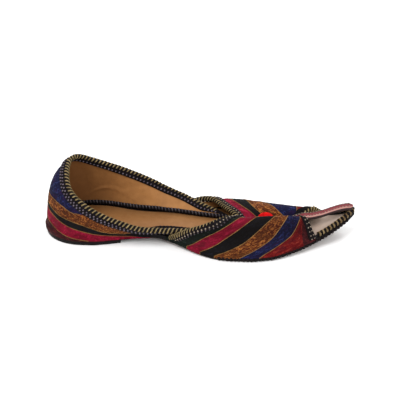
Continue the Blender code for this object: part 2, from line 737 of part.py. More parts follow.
def build_piping():
    """Round cord laid along the foot of the quarter, on the insole's edge."""
    sides = 6
    spots = [along for along in quarter_along() if PIPING_END < along < 1.0 - PIPING_END]
    points = []
    for along in spots:
        base, top = quarter_point(along, 0.0), quarter_point(along, 1.0)
        height = insole_top(base[0]) + GAP + PIPING_RADIUS
        wall, _, _, normal = surface_frame(quarter_point, along, (height - base[2]) / (top[2] - base[2]))
        flat = np.array((normal[0], normal[1], 0.0))
        inward = -unit(flat)
        centre = wall + inward * (WALL / 2 + PIPING_CLEAR + PIPING_RADIUS) / np.linalg.norm(flat)
        centre[2] = height
        for side in range(sides):
            turn = 2 * math.pi * (side + 0.5) / sides
            points.append(centre + inward * PIPING_RADIUS * math.cos(turn)
                          + np.array((0.0, 0.0, PIPING_RADIUS * math.sin(turn))))
    faces = bridge(sides, len(spots), closed=False)
    faces.append(tuple(range(sides))[::-1])
    faces.append(tuple(range(len(points) - sides, len(points))))
    make_object("insole_piping", points, faces, "insole_piping", round_off=70)


# ---------------------------------------------------------------- scene
def clear_scene():
    """Start from an empty scene."""
    for thing in list(bpy.data.objects):
        bpy.data.objects.remove(thing)


def main():
    """Build every piece of the shoe."""
    clear_scene()
    slab("heel_lift", ((LIFT_INSET + 0.5, lambda x: 0.0), (LIFT_INSET, lambda x: 0.5),
                       (LIFT_INSET, lambda x: LIFT_THICKNESS)), 6, LIFT_END_STATION)
    slab("outsole", ((0.6, underside), (0.0, lambda x: underside(x) + 0.6), (0.0, outsole_top)))
    inner_edge = MARGIN_INSET + MARGIN_WIDTH + GAP
    slab("insole", ((inner_edge, margin_bottom), (inner_edge, insole_top)))
    build_upper()
    build_bindings()
    build_toe_rim()
    build_strip()
    build_pompom()
    build_piping()


main()
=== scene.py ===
# %% [markdown]
# # An open-sided slipper flat with a curled toe
#
# This lesson dresses a plain solid model of one right shoe.  The real shoe is made of
# ribbons sewn side by side on a leather shell, bound with tape that is covered in whip
# stitches, and it stands on a thin leather sole.
#
# The solid model is loaded first and never changed.  Each visible piece is then made again
# with more detail in the same place, and the solid that it stands for is hidden.
# %% Load the solid model
import math
from bisect import bisect
from functools import lru_cache

import bmesh
import bpy
import numpy as np
from mathutils import Matrix, Vector


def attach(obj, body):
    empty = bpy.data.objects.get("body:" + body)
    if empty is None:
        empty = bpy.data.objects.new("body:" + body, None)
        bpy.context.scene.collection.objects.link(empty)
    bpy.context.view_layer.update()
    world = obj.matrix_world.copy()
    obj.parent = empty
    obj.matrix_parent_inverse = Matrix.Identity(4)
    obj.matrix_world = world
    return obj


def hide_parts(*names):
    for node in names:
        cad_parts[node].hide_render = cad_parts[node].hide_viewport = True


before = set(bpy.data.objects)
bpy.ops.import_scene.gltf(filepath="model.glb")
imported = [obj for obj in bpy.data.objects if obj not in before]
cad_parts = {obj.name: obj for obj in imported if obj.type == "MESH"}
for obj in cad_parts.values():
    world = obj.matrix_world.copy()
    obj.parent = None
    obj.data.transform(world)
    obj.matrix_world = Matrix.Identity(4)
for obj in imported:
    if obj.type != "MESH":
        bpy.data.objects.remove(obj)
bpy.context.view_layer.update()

print("solids:", sorted(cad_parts))

# %% [markdown]
# ## Finishes come from a few shared effects
#
# Leather, ribbon and yarn each show the same kind of detail wherever they are used, so each
# effect is a node group that is built once.  A group gives out only a colour, a roughness and
# a height.  The Principled shader stays in each material, with its constant values set on its
# own sockets.
#
# Colours are written as a dyer would read them from a screen, in the sRGB scale from 0 to 255,
# and turned into the linear values that Blender mixes.  A Net lays out one node tree: each
# input is fed either with another node's socket or with a plain value.
# %% Helpers that lay out nodes
def dye(red, green, blue):
    """A screen colour, 0 to 255, as the linear colour that a node takes."""
    shares = [value / 255 for value in (red, green, blue)]
    return (*(s / 12.92 if s <= 0.04045 else ((s + 0.055) / 1.055) ** 2.4 for s in shares), 1.0)


class Net:
    """A node tree that is being laid out."""

    def __init__(self, tree):
        self.tree = tree

    def feed(self, socket, value):
        """Links a socket to an input, or sets the input's own value."""
        if isinstance(value, bpy.types.NodeSocket):
            self.tree.links.new(value, socket)
        else:
            socket.default_value = value

    def node(self, kind, feeds=None, **settings):
        """A new node with its settings, and its inputs fed by name or by place."""
        made = self.tree.nodes.new(kind)
        for key, value in settings.items():
            setattr(made, key, value)
        for key, value in (feeds or {}).items():
            named = [s for s in made.inputs if s.enabled and s.name == key]
            self.feed(named[0] if named else made.inputs[key], value)
        return made

    def first(self, kind, feeds=None, **settings):
        """The first output in use of a new node."""
        return [s for s in self.node(kind, feeds, **settings).outputs if s.enabled][0]

    def math(self, operation, *values):
        """A Math node on sockets or numbers."""
        return self.first("ShaderNodeMath", dict(enumerate(values)), operation=operation)

    def times(self, one, other):
        """The product of two values."""
        return self.math("MULTIPLY", one, other)

    def plus(self, one, other):
        """The sum of two values."""
        return self.math("ADD", one, other)

    def mix(self, share, one, other, method="MIX"):
        """A colour mix."""
        return self.first("ShaderNodeMix", {"Factor": share, "A": one, "B": other},
                          data_type="RGBA", blend_type=method)

    def ramp(self, source, low, high):
        """Stretches a value so that low becomes 0 and high becomes 1."""
        return self.first("ShaderNodeMapRange", {"Value": source, "From Min": low, "From Max": high})

    def noise(self, where, scale, detail=2.0, roughness=0.5, distortion=0.0):
        """A noise texture's value."""
        return self.node("ShaderNodeTexNoise", {
            "Vector": where, "Scale": scale, "Detail": detail, "Roughness": roughness,
            "Distortion": distortion}).outputs["Fac"]

    def cells(self, where, scale):
        """Distance to the middle of the nearest cell."""
        return self.node("ShaderNodeTexVoronoi", {"Vector": where, "Scale": scale}).outputs["Distance"]

    def x_of(self, where):
        """The first coordinate of a place."""
        return self.node("ShaderNodeSeparateXYZ", {"Vector": where}).outputs["X"]

    def give(self, **results):
        """Ends a group: its named outputs."""
        for key, value in results.items():
            self.feed(self.result[key], value)
        return self.tree


def new_net(name, kind, inputs, outputs):
    """The Net of a new node group, with its named inputs as given and its outputs as result."""
    net = Net(bpy.data.node_groups.new(name, kind + "NodeTree"))
    for side, sockets in (("INPUT", inputs), ("OUTPUT", outputs)):
        for label, socket_kind, *value in sockets:
            socket = net.tree.interface.new_socket(label, in_out=side, socket_type="NodeSocket" + socket_kind)
            if value:
                socket.default_value = value[0]
    net.given = net.tree.nodes.new("NodeGroupInput").outputs
    net.result = net.tree.nodes.new("NodeGroupOutput").inputs
    return net


EFFECT_OUTPUTS = (("Color", "Color"), ("Roughness", "Float"), ("Height", "Float"))
print("node helpers ready")

# %% [markdown]
# ### Leather
#
# Smooth lining and sole leather shows three things: fine pores, wide soft stains where a hand
# or foot has darkened it, and short creases.  Pores and creases are a height for the Bump node;
# the stains change the colour.  "Heel Shade" is painted shade: it darkens the leather towards
# the back of the heel, deep in the heel cup, with the same darker colour as the stains.
# %% The leather effect
# painted shade at the heel: where it starts and where it is full
HEEL_SHADE_SPAN = (0.060, -0.024)            # where it starts and is full, in metres from the origin
FINE_SCALE, STAIN_SCALE, CREASE_SCALE = 210.0, 26.0, 70.0
# noise values at which each effect starts and is full
STAINED, MOTTLED, FOLDED = (0.42, 0.66), (0.3, 0.75), (0.46, 0.56)
MOTTLE_AMOUNT = 0.22
PORE_DEPTH = 0.35
LEATHER_ROUGHNESS, ROUGHNESS_SPREAD = 0.36, 0.25


def leather_effect():
    """Group: pores, soft stains, short creases and painted heel shade of leather."""
    net = new_net("leather", "Shader", (
        ("Color", "Color"), ("Stain", "Color"), ("Stain Amount", "Float", 0.5),
        ("Pore Scale", "Float", 900.0), ("Crease Amount", "Float", 0.4),
        ("Heel Stain", "Float", 0.0)), EFFECT_OUTPUTS)
    given = net.given
    where = net.node("ShaderNodeTexCoord").outputs["Object"]
    fine = net.noise(where, FINE_SCALE, 4.0, 0.6)
    # painted shade, darker towards the back of the heel
    heel_shade = net.times(net.ramp(net.x_of(where), *HEEL_SHADE_SPAN), given["Heel Stain"])
    stained = net.times(net.ramp(net.noise(where, STAIN_SCALE, 3.0, 0.55), *STAINED), given["Stain Amount"])
    mottled = net.times(net.ramp(fine, *MOTTLED), MOTTLE_AMOUNT)
    colour = given["Color"]
    for share in (heel_shade, stained, mottled):
        colour = net.mix(share, colour, given["Stain"])
    folds = net.ramp(net.noise(where, CREASE_SCALE, 5.0, distortion=1.6), *FOLDED)
    return net.give(Color=colour, Roughness=net.plus(net.times(fine, ROUGHNESS_SPREAD), LEATHER_ROUGHNESS),
                    Height=net.plus(net.times(net.cells(where, given["Pore Scale"]), PORE_DEPTH),
                                    net.times(folds, given["Crease Amount"])))


LEATHER = leather_effect()
print(LEATHER.name, "group:", len(LEATHER.nodes), "nodes")

# %% [markdown]
# ### Woven ribbon
#
# A brocade ribbon has a ground weave and, on top, a figure of glossy thread.  The ribbon pieces
# carry a UV map laid along each ribbon in centimetres, so the weave turns with it.  Warped cells
# give the scrolls of the figure, and a wider noise lets a plainer colour show in patches.  A wide
# soft noise paints shade over whole stretches.  "Hollow At" is where across the vamp the cloth
# sinks between crest and foot, and a band of painted shade is laid along it.
# %% The ribbon effect
BETWEEN_THREADS = (0.60, 0.58, 0.58, 1.0)       # what a gap between threads takes from the colour
PAINTED_SHADE_TINT = (0.46, 0.40, 0.42, 1.0)                  # what the painted shade takes from the colour
SCROLL_CELLS = 0.35                     # how much the cells add to the noise of the figure's scrolls
BARE_LEVEL, COVER_REACH = 0.90, 0.36    # where the figure starts, and how far "Figure Cover" lowers it
FIGURE_EDGE = (-0.04, 0.06)
THREAD_GAP = (0.55, 0.05)
ACCENT_SCALE, ACCENTED, ACCENT_AMOUNT = 1.9, (0.50, 0.62), 0.8
# wide soft patches of painted shade
SHADE_PATCH_SCALE, SHADE_PATCHING, SHADE_PATCH_AMOUNT = 0.7, (0.44, 0.64), 0.7
# the band of painted shade along the hollow
HOLLOW_REACH, HOLLOW_AMOUNT = (1.3, 0.3), 0.85          # centimetres to either side of the hollow
RIBBON_ROUGHNESS, FIGURE_GLOSS = 0.78, 0.2
FIGURE_DEPTH, THREAD_DEPTH = 0.6, 0.5


def ribbon_effect():
    """Group: warp, weft and a scrolled figure that follow the piece's UV map, with painted shade."""
    net = new_net("ribbon", "Shader", (
        ("Ground", "Color"), ("Figure", "Color"), ("Accent", "Color"), ("Figure Cover", "Float"),
        ("Figure Scale", "Float"), ("Threads", "Float", 24.0), ("Hollow At", "Float", 2.1)), EFFECT_OUTPUTS)
    given = net.given
    where = net.node("ShaderNodeUVMap", uv_map="ribbon").outputs["UV"]
    weave = {"Vector": where, "Scale": given["Threads"], "Distortion": 0.6, "Detail": 1.0}
    warp, weft = (net.node("ShaderNodeTexWave", weave, bands_direction=way).outputs["Fac"] for way in "XY")
    threads = net.times(warp, weft)
    leaf = net.plus(net.times(net.cells(where, given["Figure Scale"]), SCROLL_CELLS),
                    net.noise(where, given["Figure Scale"], 4.0, 0.6, 1.6))
    bare = net.math("SUBTRACT", BARE_LEVEL, net.times(given["Figure Cover"], COVER_REACH))
    patches = net.noise(where, ACCENT_SCALE, 3.0, distortion=1.0)
    accent = net.times(net.ramp(patches, *ACCENTED), ACCENT_AMOUNT)
    figure = net.times(net.ramp(net.math("SUBTRACT", leaf, bare), *FIGURE_EDGE),
                       net.math("SUBTRACT", 1.0, accent))
    colour = net.mix(figure, net.mix(accent, given["Ground"], given["Accent"]), given["Figure"])
    dark = net.mix(1.0, colour, BETWEEN_THREADS, "MULTIPLY")
    colour = net.mix(net.ramp(threads, *THREAD_GAP), colour, dark)
    # painted shade: wide soft patches, and a band along the hollow between crest and foot
    hollow = net.math("ABSOLUTE", net.math("SUBTRACT", net.x_of(where), given["Hollow At"]))
    painted_shade = net.math("MAXIMUM", net.times(net.ramp(net.noise(where, SHADE_PATCH_SCALE), *SHADE_PATCHING), SHADE_PATCH_AMOUNT),
                    net.times(net.ramp(hollow, *HOLLOW_REACH), HOLLOW_AMOUNT))
    return net.give(Color=net.mix(painted_shade, colour, net.mix(1.0, colour, PAINTED_SHADE_TINT, "MULTIPLY")),
                    Roughness=net.math("SUBTRACT", RIBBON_ROUGHNESS, net.times(figure, FIGURE_GLOSS)),
                    Height=net.plus(net.times(figure, FIGURE_DEPTH), net.times(threads, THREAD_DEPTH)))


RIBBON = ribbon_effect()
print(RIBBON.name, "group:", len(RIBBON.nodes), "nodes")

# %% [markdown]
# ### Yarn and thread
#
# Thread is a bundle of fibres, so its colour is uneven along its length and it has fine lines.
# One noise with a high scale and one with a lower scale are enough at this size.
# %% The yarn effect
SHADOWED, SHADOW_AMOUNT = (0.35, 0.7), 0.8
YARN_ROUGHNESS = 0.6


def yarn_effect():
    """Group: uneven colour and fibre lines of thread, tape and yarn."""
    net = new_net("yarn", "Shader", (
        ("Color", "Color"), ("Shadow", "Color"), ("Fibre Scale", "Float", 1800.0),
        ("Patch Scale", "Float", 260.0)), EFFECT_OUTPUTS)
    given = net.given
    where = net.node("ShaderNodeTexCoord").outputs["Object"]
    fibres = net.noise(where, given["Fibre Scale"], 3.0, 0.7)
    share = net.times(net.ramp(net.noise(where, given["Patch Scale"]), *SHADOWED), SHADOW_AMOUNT)
    return net.give(Color=net.mix(share, given["Color"], given["Shadow"]),
                    Roughness=net.plus(net.times(fibres, ROUGHNESS_SPREAD), YARN_ROUGHNESS), Height=fibres)


YARN = yarn_effect()
print(YARN.name, "group:", len(YARN.nodes), "nodes")

# %% [markdown]
# ## One function mixes a finish
#
# Every material is the same short chain: one effect group, a Bump node for its height, and a
# Principled shader.  What differs is the group's values and how much the surface shines.
# %% A finish from an effect
def finish(name, effect, values, bump, distance, shine):
    """Material made of one effect group, a Bump node and the Principled shader."""
    material = bpy.data.materials.new(name)
    material.use_nodes = True
    net = Net(material.node_tree)
    made = net.node("ShaderNodeGroup", values, node_tree=effect).outputs
    relief = net.node("ShaderNodeBump", {"Height": made["Height"], "Strength": bump, "Distance": distance})
    shader = material.node_tree.nodes["Principled BSDF"].inputs
    for key, value in (("Base Color", made["Color"]), ("Roughness", made["Roughness"]),
                       ("Normal", relief.outputs["Normal"]), ("Specular IOR Level", shine)):
        net.feed(shader[key], value)
    material.diffuse_color = values.get("Color") or values["Ground"]
    return material


SOFT, SILKY, LEATHERY = 0.05, 0.07, 0.10        # how much a finish shines
PLAIN_RELIEF = 0.0004
RIBBON_BUMP, RIBBON_RELIEF = 0.5, 0.0003
WORN = {"Crease Amount": 0.3, "Stain Amount": 0.25}
SPUN = {"Patch Scale": 420.0}
# name: colour, its darker mate, other values of the effect, bump
LEATHERS = {
    # the lining and the insole take painted shade towards the heel
    "lining": ((164, 114, 66), (84, 48, 24), WORN | {"Heel Stain": 0.7}, 0.25),
    "insole_tan": ((141, 99, 59), (98, 60, 32), WORN | {"Heel Stain": 0.08}, 0.2),
    "insole_bare": ((182, 162, 148), (142, 108, 84), {"Crease Amount": 0.2}, 0.2),
    "sole_edge": ((22, 19, 19), (11, 9, 9), {"Crease Amount": 0.7}, 0.5),
    "sole_base": ((92, 64, 44), (46, 33, 25), {"Stain Amount": 0.8, "Crease Amount": 0.8}, 0.5),
    "strip_top": ((112, 38, 44), (70, 24, 30), {"Stain Amount": 0.5}, 0.3),
    "strip_margin": ((172, 124, 116), (126, 80, 76), {"Stain Amount": 0.5}, 0.3),
    "strip_side": ((52, 38, 38), (30, 21, 21), {"Crease Amount": 0.6}, 0.4),
}
YARNS = {
    "tape_black": ((22, 18, 20), (9, 7, 9), {}, 0.5),
    "thread_gold": ((146, 126, 88), (74, 66, 42), SPUN, 0.5),
    "thread_cream": ((158, 144, 126), (92, 80, 70), SPUN, 0.5),
    "thread_lilac": ((108, 98, 108), (60, 52, 62), SPUN, 0.5),
    "thread_grey": ((84, 78, 82), (46, 42, 48), SPUN, 0.5),
    "thread_olive": ((132, 114, 82), (72, 48, 28), {"Patch Scale": 300.0}, 0.5),
    "thread_dark": ((30, 24, 25), (14, 11, 12), {}, 0.6),
    "cord_gold": ((150, 112, 64), (86, 58, 32), {"Patch Scale": 200.0}, 0.4),
    "yarn_red": ((212, 20, 22), (140, 8, 14), {"Patch Scale": 500.0}, 0.6),
}
plain = {}
for effect, mate, shine, finishes in ((LEATHER, "Stain", LEATHERY, LEATHERS), (YARN, "Shadow", SOFT, YARNS)):
    for name, (colour, shadow, values, bump) in finishes.items():
        plain[name] = finish(name, effect, {"Color": dye(*colour), mate: dye(*shadow), **values}, bump,
                             PLAIN_RELIEF, SILKY if name == "cord_gold" else shine)
print("plain finishes:", ", ".join(plain))

# %% [markdown]
# ### The ribbons' colours
#
# From the throat to the toe the vamp wears dark green, magenta, black, brown and gold brocade,
# blue and red.  Beside the front tape the red ribbon lies in shade, and that shade is painted as a
# dark maroon band.  The quarter uses the same ribbons in bands that run round the heel, with a
# maroon band at its foot.  Plain silk has little figure; the brocades have much.
# %% Ribbon finishes
RIBBON_DYES = {
    #           ground         figure          accent        cover scale
    "green": ((20, 28, 22), (30, 44, 36), (16, 18, 16), 0.35, 4.0),
    "magenta": ((134, 16, 44), (172, 26, 62), (106, 12, 34), 0.35, 4.5),
    "black": ((20, 17, 18), (26, 26, 36), (18, 14, 14), 0.25, 4.0),
    "brocade": ((84, 36, 20), (186, 116, 54), (88, 48, 24), 0.50, 9.5),
    "blue": ((22, 22, 52), (44, 52, 104), (40, 22, 58), 0.40, 8.0),
    "red": ((108, 15, 18), (150, 50, 38), (84, 14, 24), 0.36, 6.0),
    # maroon: the quarter's lowest band, and on the vamp the painted shade of the red ribbon
    "maroon": ((66, 22, 26), (92, 30, 32), (38, 18, 20), 0.40, 5.0),
}
ribbons = {}
for name, (ground, figure, accent, cover, scale) in RIBBON_DYES.items():
    values = {"Ground": dye(*ground), "Figure": dye(*figure), "Accent": dye(*accent),
              "Figure Cover": cover, "Figure Scale": scale}
    ribbons[name] = finish("ribbon_" + name, RIBBON, values, RIBBON_BUMP, RIBBON_RELIEF, SILKY)
print("ribbons:", ", ".join(ribbons))

# %% [markdown]
# ## Curves through the last maker's tables
#
# A shoemaker sets out a shoe from a few sections.  So do the tables here: each row is one
# section, in millimetres, and "station" is the distance from the back of the heel.  They are
# the same tables as the solid model's, so the detailed pieces land on the solids.
#
# Two kinds of cubic curve run through the rows.  The first never overshoots a row and suits
# the sole's plan.  The second is rounder and suits cross-sections.
# %% Curves
HEEL_REST_STATION = 34.0
MM = 0.001
UP = np.array((0.0, 0.0, 1.0))


def through(knots, values, tangents):
    """The cubic through values at knots, as a function of one place; it is held at its ends."""
    knots = [float(knot) for knot in knots]

    def at(where):
        where = min(max(float(where), knots[0]), knots[-1])
        left = min(bisect(knots, where), len(knots) - 1) - 1
        step = knots[left + 1] - knots[left]
        part = (where - knots[left]) / step
        rest = 1.0 - part
        return (rest * rest * ((1.0 + 2.0 * part) * values[left] + part * step * tangents[left])
                + part * part * ((3.0 - 2.0 * part) * values[left + 1] - rest * step * tangents[left + 1]))

    return at


def steady(knots, values):
    """Function that runs through values, or rows of values, and never overshoots them."""
    table = np.asarray(values, float).reshape(len(knots), -1)
    steps = np.diff(np.asarray(knots, float))[:, None]
    rises = np.diff(table, axis=0) / steps
    tangents = np.vstack((rises[:1], np.zeros_like(table[2:]), rises[-1:]))
    before, after = rises[:-1], rises[1:]
    heavy, light = 2 * steps[1:] + steps[:-1], steps[1:] + 2 * steps[:-1]
    same_way = before * after > 0
    mixed = heavy * np.where(same_way, after, 1.0) + light * np.where(same_way, before, 1.0)
    tangents[1:-1] = np.where(same_way, (heavy + light) * before * after / mixed, 0.0)
    if np.ndim(values) == 1:
        return through(knots, table[:, 0].tolist(), tangents[:, 0].tolist())
    return through(knots, table, tangents)


def rounded(knots, values):
    """Rounder function through rows of values at knots."""
    table = np.asarray(values, float)
    steps = np.diff(np.asarray(knots, float))[:, None]
    rises = np.diff(table, axis=0) / steps
    inner = (rises[:-1] * steps[1:] + rises[1:] * steps[:-1]) / (steps[1:] + steps[:-1])
    return through(knots, table, np.vstack((rises[:1], inner, rises[-1:])))


def unit(vector):
    """The vector at length one."""
    return vector / np.linalg.norm(vector)


def eased(share):
    """0 to 1 with a soft start and end."""
    share = min(1.0, max(0.0, share))
    return share * share * (3.0 - 2.0 * share)


def halved(low, high, holds, rounds=16):
    """How far from low to high something still holds, found by halving."""
    for _ in range(rounds):
        middle = (low + high) / 2
        low, high = (middle, high) if holds(middle) else (low, middle)
    return low


print("curves ready")

# %% [markdown]
# ## One function makes a mesh
#
# Points are worked out in millimetres from the heel's back and moved to the model's origin,
# in metres, in this one place.  Faces are turned outwards there too.  A piece may have several
# finishes, one for each face's slot, and a UV value for each point.
# %% Mesh helper
def in_frame(point):
    """A point in station millimetres as metres in the model's frame."""
    return ((point[0] - HEEL_REST_STATION) * MM, point[1] * MM, point[2] * MM)


def show(name, data):
    """A new object in the scene."""
    made = bpy.data.objects.new(name, data)
    bpy.context.scene.collection.objects.link(made)
    return made


def turn_outwards(mesh):
    """Turns the faces of a closed mesh outwards."""
    form = bmesh.new()
    form.from_mesh(mesh)
    bmesh.ops.recalc_face_normals(form, faces=form.faces)
    if form.calc_volume(signed=True) < 0.0:
        bmesh.ops.reverse_faces(form, faces=form.faces)
    form.to_mesh(mesh)
    form.free()


def make_piece(name, points, faces, finishes, slots=None, uv=None, sharp=50.0):
    """One closed piece with outward faces."""
    mesh = bpy.data.meshes.new(name)
    mesh.from_pydata([in_frame(p) for p in points], [], faces)
    for material in finishes:
        mesh.materials.append(material)
    if slots is not None:
        mesh.polygons.foreach_set("material_index", slots)
    if uv is not None:
        corners = np.zeros(len(mesh.loops), int)
        mesh.loops.foreach_get("vertex_index", corners)
        mesh.uv_layers.new(name="ribbon").data.foreach_set("uv", np.asarray(uv, np.float32)[corners].ravel())
    turn_outwards(mesh)
    mesh.shade_smooth()
    mesh.set_sharp_from_angle(angle=math.radians(sharp))
    print(f"{name}: {len(mesh.vertices)} points, {len(mesh.polygons)} faces")
    return show(name, mesh)


def bridge(count, loops, closed=False):
    """Quads between closed loops of count points; closed joins the last loop to the first."""
    faces = []
    for loop in range(loops if closed else loops - 1):
        low, high = loop * count, ((loop + 1) % loops) * count
        for index in range(count):
            after = (index + 1) % count
            faces.append((low + index, low + after, high + after, high + index))
    return faces


def capped(count, loops):
    """Faces of a tube with both ends closed."""
    last = (loops - 1) * count
    return bridge(count, loops) + [tuple(range(count))[::-1], tuple(range(last, last + count))]


# %% [markdown]
# ## The sole's plan
#
# The sole is long and slim, with a narrow waist, a round heel and a toe that comes to a point
# and curls up.  Outer and inner half-widths are given apart, because a right shoe bends
# towards the big toe.  The heel's back is a super-ellipse, a little fuller than a circle.
# %% The sole's plan
SOLE = np.array((
    # station, outer half width, inner half width, underside's height
    (36.0, 30.4, 30.0, 3.3),
    (46.0, 30.2, 29.6, 3.3),
    (58.0, 27.8, 27.4, 3.3),
    (70.0, 24.6, 24.2, 3.3),
    (84.0, 22.4, 21.2, 3.7),
    (96.0, 21.7, 20.0, 4.1),
    (108.0, 24.4, 22.2, 3.8),
    (121.0, 30.4, 27.6, 2.5),
    (135.0, 38.0, 33.4, 0.9),
    (148.0, 42.8, 37.0, 0.0),
    (160.0, 44.6, 39.0, 0.0),
    (174.0, 44.4, 39.4, 0.0),
    (190.0, 41.4, 37.0, 0.0),
    (210.0, 31.8, 30.2, 1.8),
    (223.0, 23.2, 24.6, 3.7),
    (231.0, 17.6, 20.6, 5.7),
    (240.0, 11.6, 16.4, 8.8),
    (248.0, 6.0, 12.4, 12.4),
    (254.5, 0.8, 8.6, 16.0),
    (258.0, -3.0, 5.0, 18.2),
))
HEEL_ARC_STATION = 36.0
HEEL_ROUNDNESS = 1.92
TIP_WIDTH = 2.0
GAP = 0.3
LIFT_THICKNESS = 3.0
LIFT_END_STATION = 69.0
LIFT_INSET = 0.6
OUTSOLE_THICKNESS = 2.6
MARGIN_THICKNESS = 1.3
MARGIN_WIDTH = 4.6
MARGIN_INSET = 0.2
INSOLE_THICKNESS = 1.6
ARC_STEPS = 22
BARE_STATION = 206.0
SIDE_STEPS = 120
half_widths = [steady(SOLE[:, 0], SOLE[:, column]) for column in (1, 2)]
underside = steady(SOLE[:, 0], SOLE[:, 3])      # height of the outsole's underside


def over_sole(rise):
    """Height function a distance above the outsole's underside."""
    return lambda station: underside(station) + rise


outsole_top = over_sole(OUTSOLE_THICKNESS)
margin_bottom = over_sole(OUTSOLE_THICKNESS + GAP)          # the insole's lower face too
margin_top = over_sole(OUTSOLE_THICKNESS + GAP + MARGIN_THICKNESS)
insole_top = over_sole(OUTSOLE_THICKNESS + GAP + INSOLE_THICKNESS)


def edge_y(station, column, inset):
    """Y of the sole's edge, outer side in column 1 and inner in column 2, moved inwards."""
    side = -1.0 if column == 1 else 1.0
    if station <= HEEL_ARC_STATION:
        reach = SOLE[0, column] - inset
        share = min(1.0, (HEEL_ARC_STATION - station) / (HEEL_ARC_STATION - inset))
        return side * reach * (1.0 - share**HEEL_ROUNDNESS) ** (1.0 / HEEL_ROUNDNESS)
    half = half_widths[column - 1]
    return side * (half(station) - inset * math.hypot(1.0, half(station + 0.5) - half(station - 0.5)))


def tip_station(inset):
    """Station where the inset outline has narrowed to the tip's width."""
    return halved(200.0, SOLE[-1, 0],
                  lambda x: edge_y(x, 2, inset) - edge_y(x, 1, inset) > TIP_WIDTH, rounds=40)


def outline(inset, end_station=None, side_steps=SIDE_STEPS):
    """Rows of (station, outer y, inner y) from the heel's back to the tip."""
    end = tip_station(inset) if end_station is None else end_station
    stations = [HEEL_ARC_STATION - (HEEL_ARC_STATION - inset) * math.cos(math.pi / 2 * step / ARC_STEPS)
                for step in range(ARC_STEPS)]
    stations += list(np.linspace(HEEL_ARC_STATION, end, side_steps + 1))
    return [(station, edge_y(station, 1, inset), edge_y(station, 2, inset)) for station in stations]


def loops_on(base, inset, profile, end_station=None, side_steps=SIDE_STEPS):
    """Points of closed loops; profile gives each loop's further inset and its height over the base."""
    points = []
    for further, rise in profile:
        rows = outline(inset + further, end_station, side_steps)
        points += [(x, y, base(x) + rise) for x, y, _ in rows]
        points += [(x, y, base(x) + rise) for x, _, y in rows[:0:-1]]
    return points


print("the sole is", SOLE[-1, 0], "mm long and", round(max(SOLE[:, 1] + SOLE[:, 2]), 1), "mm wide")

# %% [markdown]
# ## Sole, heel lift and insole
#
# The sole and the low heel lift are cut from dark leather, with edges rubbed round by a hot
# iron, so each plate has a soft bevel above and below.  The faces that meet the floor have a
# paler, scuffed finish of their own.  The insole is a thin tan sheet between the walls, and
# under the open toe, where the dye has worn off, it is bare and pale.
# %% Plates on the sole's plan
def plate(name, base, inset, profile, finishes, base_rings, end_station=None, side_steps=SIDE_STEPS):
    """Plate with its profile from below to above; the lowest rings wear the second finish."""
    points = loops_on(base, inset, profile, end_station, side_steps)
    rows = ARC_STEPS + side_steps + 1
    count = 2 * rows - 1
    faces = bridge(count, len(profile))
    slots = [int(index < base_rings * count) for index in range(len(faces))]
    for start in (0, len(points) - count):
        for row in range(rows - 1):
            corner = (start + row, start + row + 1, start + count - row - 1)
            faces.append(corner if row == 0 else (*corner, start + count - row))
            slots.append(int(start == 0 and base_rings > 0))
    return make_piece(name, points, faces, finishes, slots)


dark_leathers = (plain["sole_edge"], plain["sole_base"])
heel_lift = plate("heel_lift_leather", lambda x: 0.0, LIFT_INSET, (
    (0.6, 0.0), (0.15, 0.15), (0.0, 0.6), (0.0, 1.35), (0.12, 1.5), (0.0, 1.65), (0.0, 2.8),
    (0.2, LIFT_THICKNESS)), dark_leathers, 1, LIFT_END_STATION, 40)
outsole = plate("outsole_leather", underside, 0.0, (
    (1.6, 0.0), (0.5, 0.12), (0.1, 0.5), (0.0, 1.0), (0.0, 2.0), (0.12, 2.4), (0.5, OUTSOLE_THICKNESS)),
    dark_leathers, 2)
insole = plate("insole_sheet", margin_bottom, MARGIN_INSET + MARGIN_WIDTH + GAP, (
    (0.0, 0.0), (0.0, INSOLE_THICKNESS - 0.3), (0.3, INSOLE_THICKNESS)),
    (plain["insole_tan"], plain["insole_bare"]), 0)
for face in insole.data.polygons:
    face.material_index = int(face.center.x > (BARE_STATION - HEEL_REST_STATION) * MM)

# %% [markdown]
# ## The vamp's surface
#
# The vamp stands up from the sole's edge.  Its outer half swells into a high crest, dips into a
# valley where a leather strip covers the seam, and rises again into a lower inner half.  Nine
# points across each section hold that form, and "across" runs from the outer foot, 0, to the
# inner foot, 1.
# %% The vamp's surface
VAMP = np.array((
    # station, then y and z of shoulder, crest, bank, valley, inner crest, inner shoulder
    (104.0, -27.5, 12.5, -25.0, 23.0, -18.0, 28.0, -6.0, 28.0, 12.0, 26.0, 28.5, 16.0),
    (120.0, -32.5, 16.0, -29.5, 26.5, -20.0, 29.0, -7.0, 25.0, 14.0, 22.0, 32.2, 17.6),
    (136.0, -38.5, 18.5, -31.5, 28.0, -21.5, 28.5, -8.0, 20.0, 14.0, 17.5, 31.2, 14.4),
    (151.0, -43.0, 18.5, -31.0, 28.5, -21.0, 26.5, -8.5, 17.0, 12.0, 15.5, 31.5, 13.8),
    (166.0, -43.5, 19.0, -29.5, 29.0, -20.0, 24.0, -8.5, 13.2, 10.5, 16.0, 31.0, 13.8),
    (186.0, -40.0, 20.0, -26.5, 29.8, -18.8, 22.5, -8.2, 9.6, 9.5, 18.0, 27.0, 13.6),
    (200.0, -34.5, 19.5, -22.0, 28.4, -15.0, 21.6, -6.5, 10.2, 8.5, 19.4, 23.5, 13.2),
    (212.0, -27.5, 17.5, -16.5, 25.4, -10.6, 19.2, -4.0, 12.4, 7.5, 20.0, 20.0, 13.4),
    (224.0, -19.5, 14.5, -11.0, 20.0, -6.8, 17.6, -1.5, 14.8, 7.8, 19.6, 16.5, 13.6),
    (240.0, -9.0, 14.6, -4.0, 18.4, -1.6, 18.6, 2.6, 18.6, 8.0, 18.6, 12.0, 15.0),
))
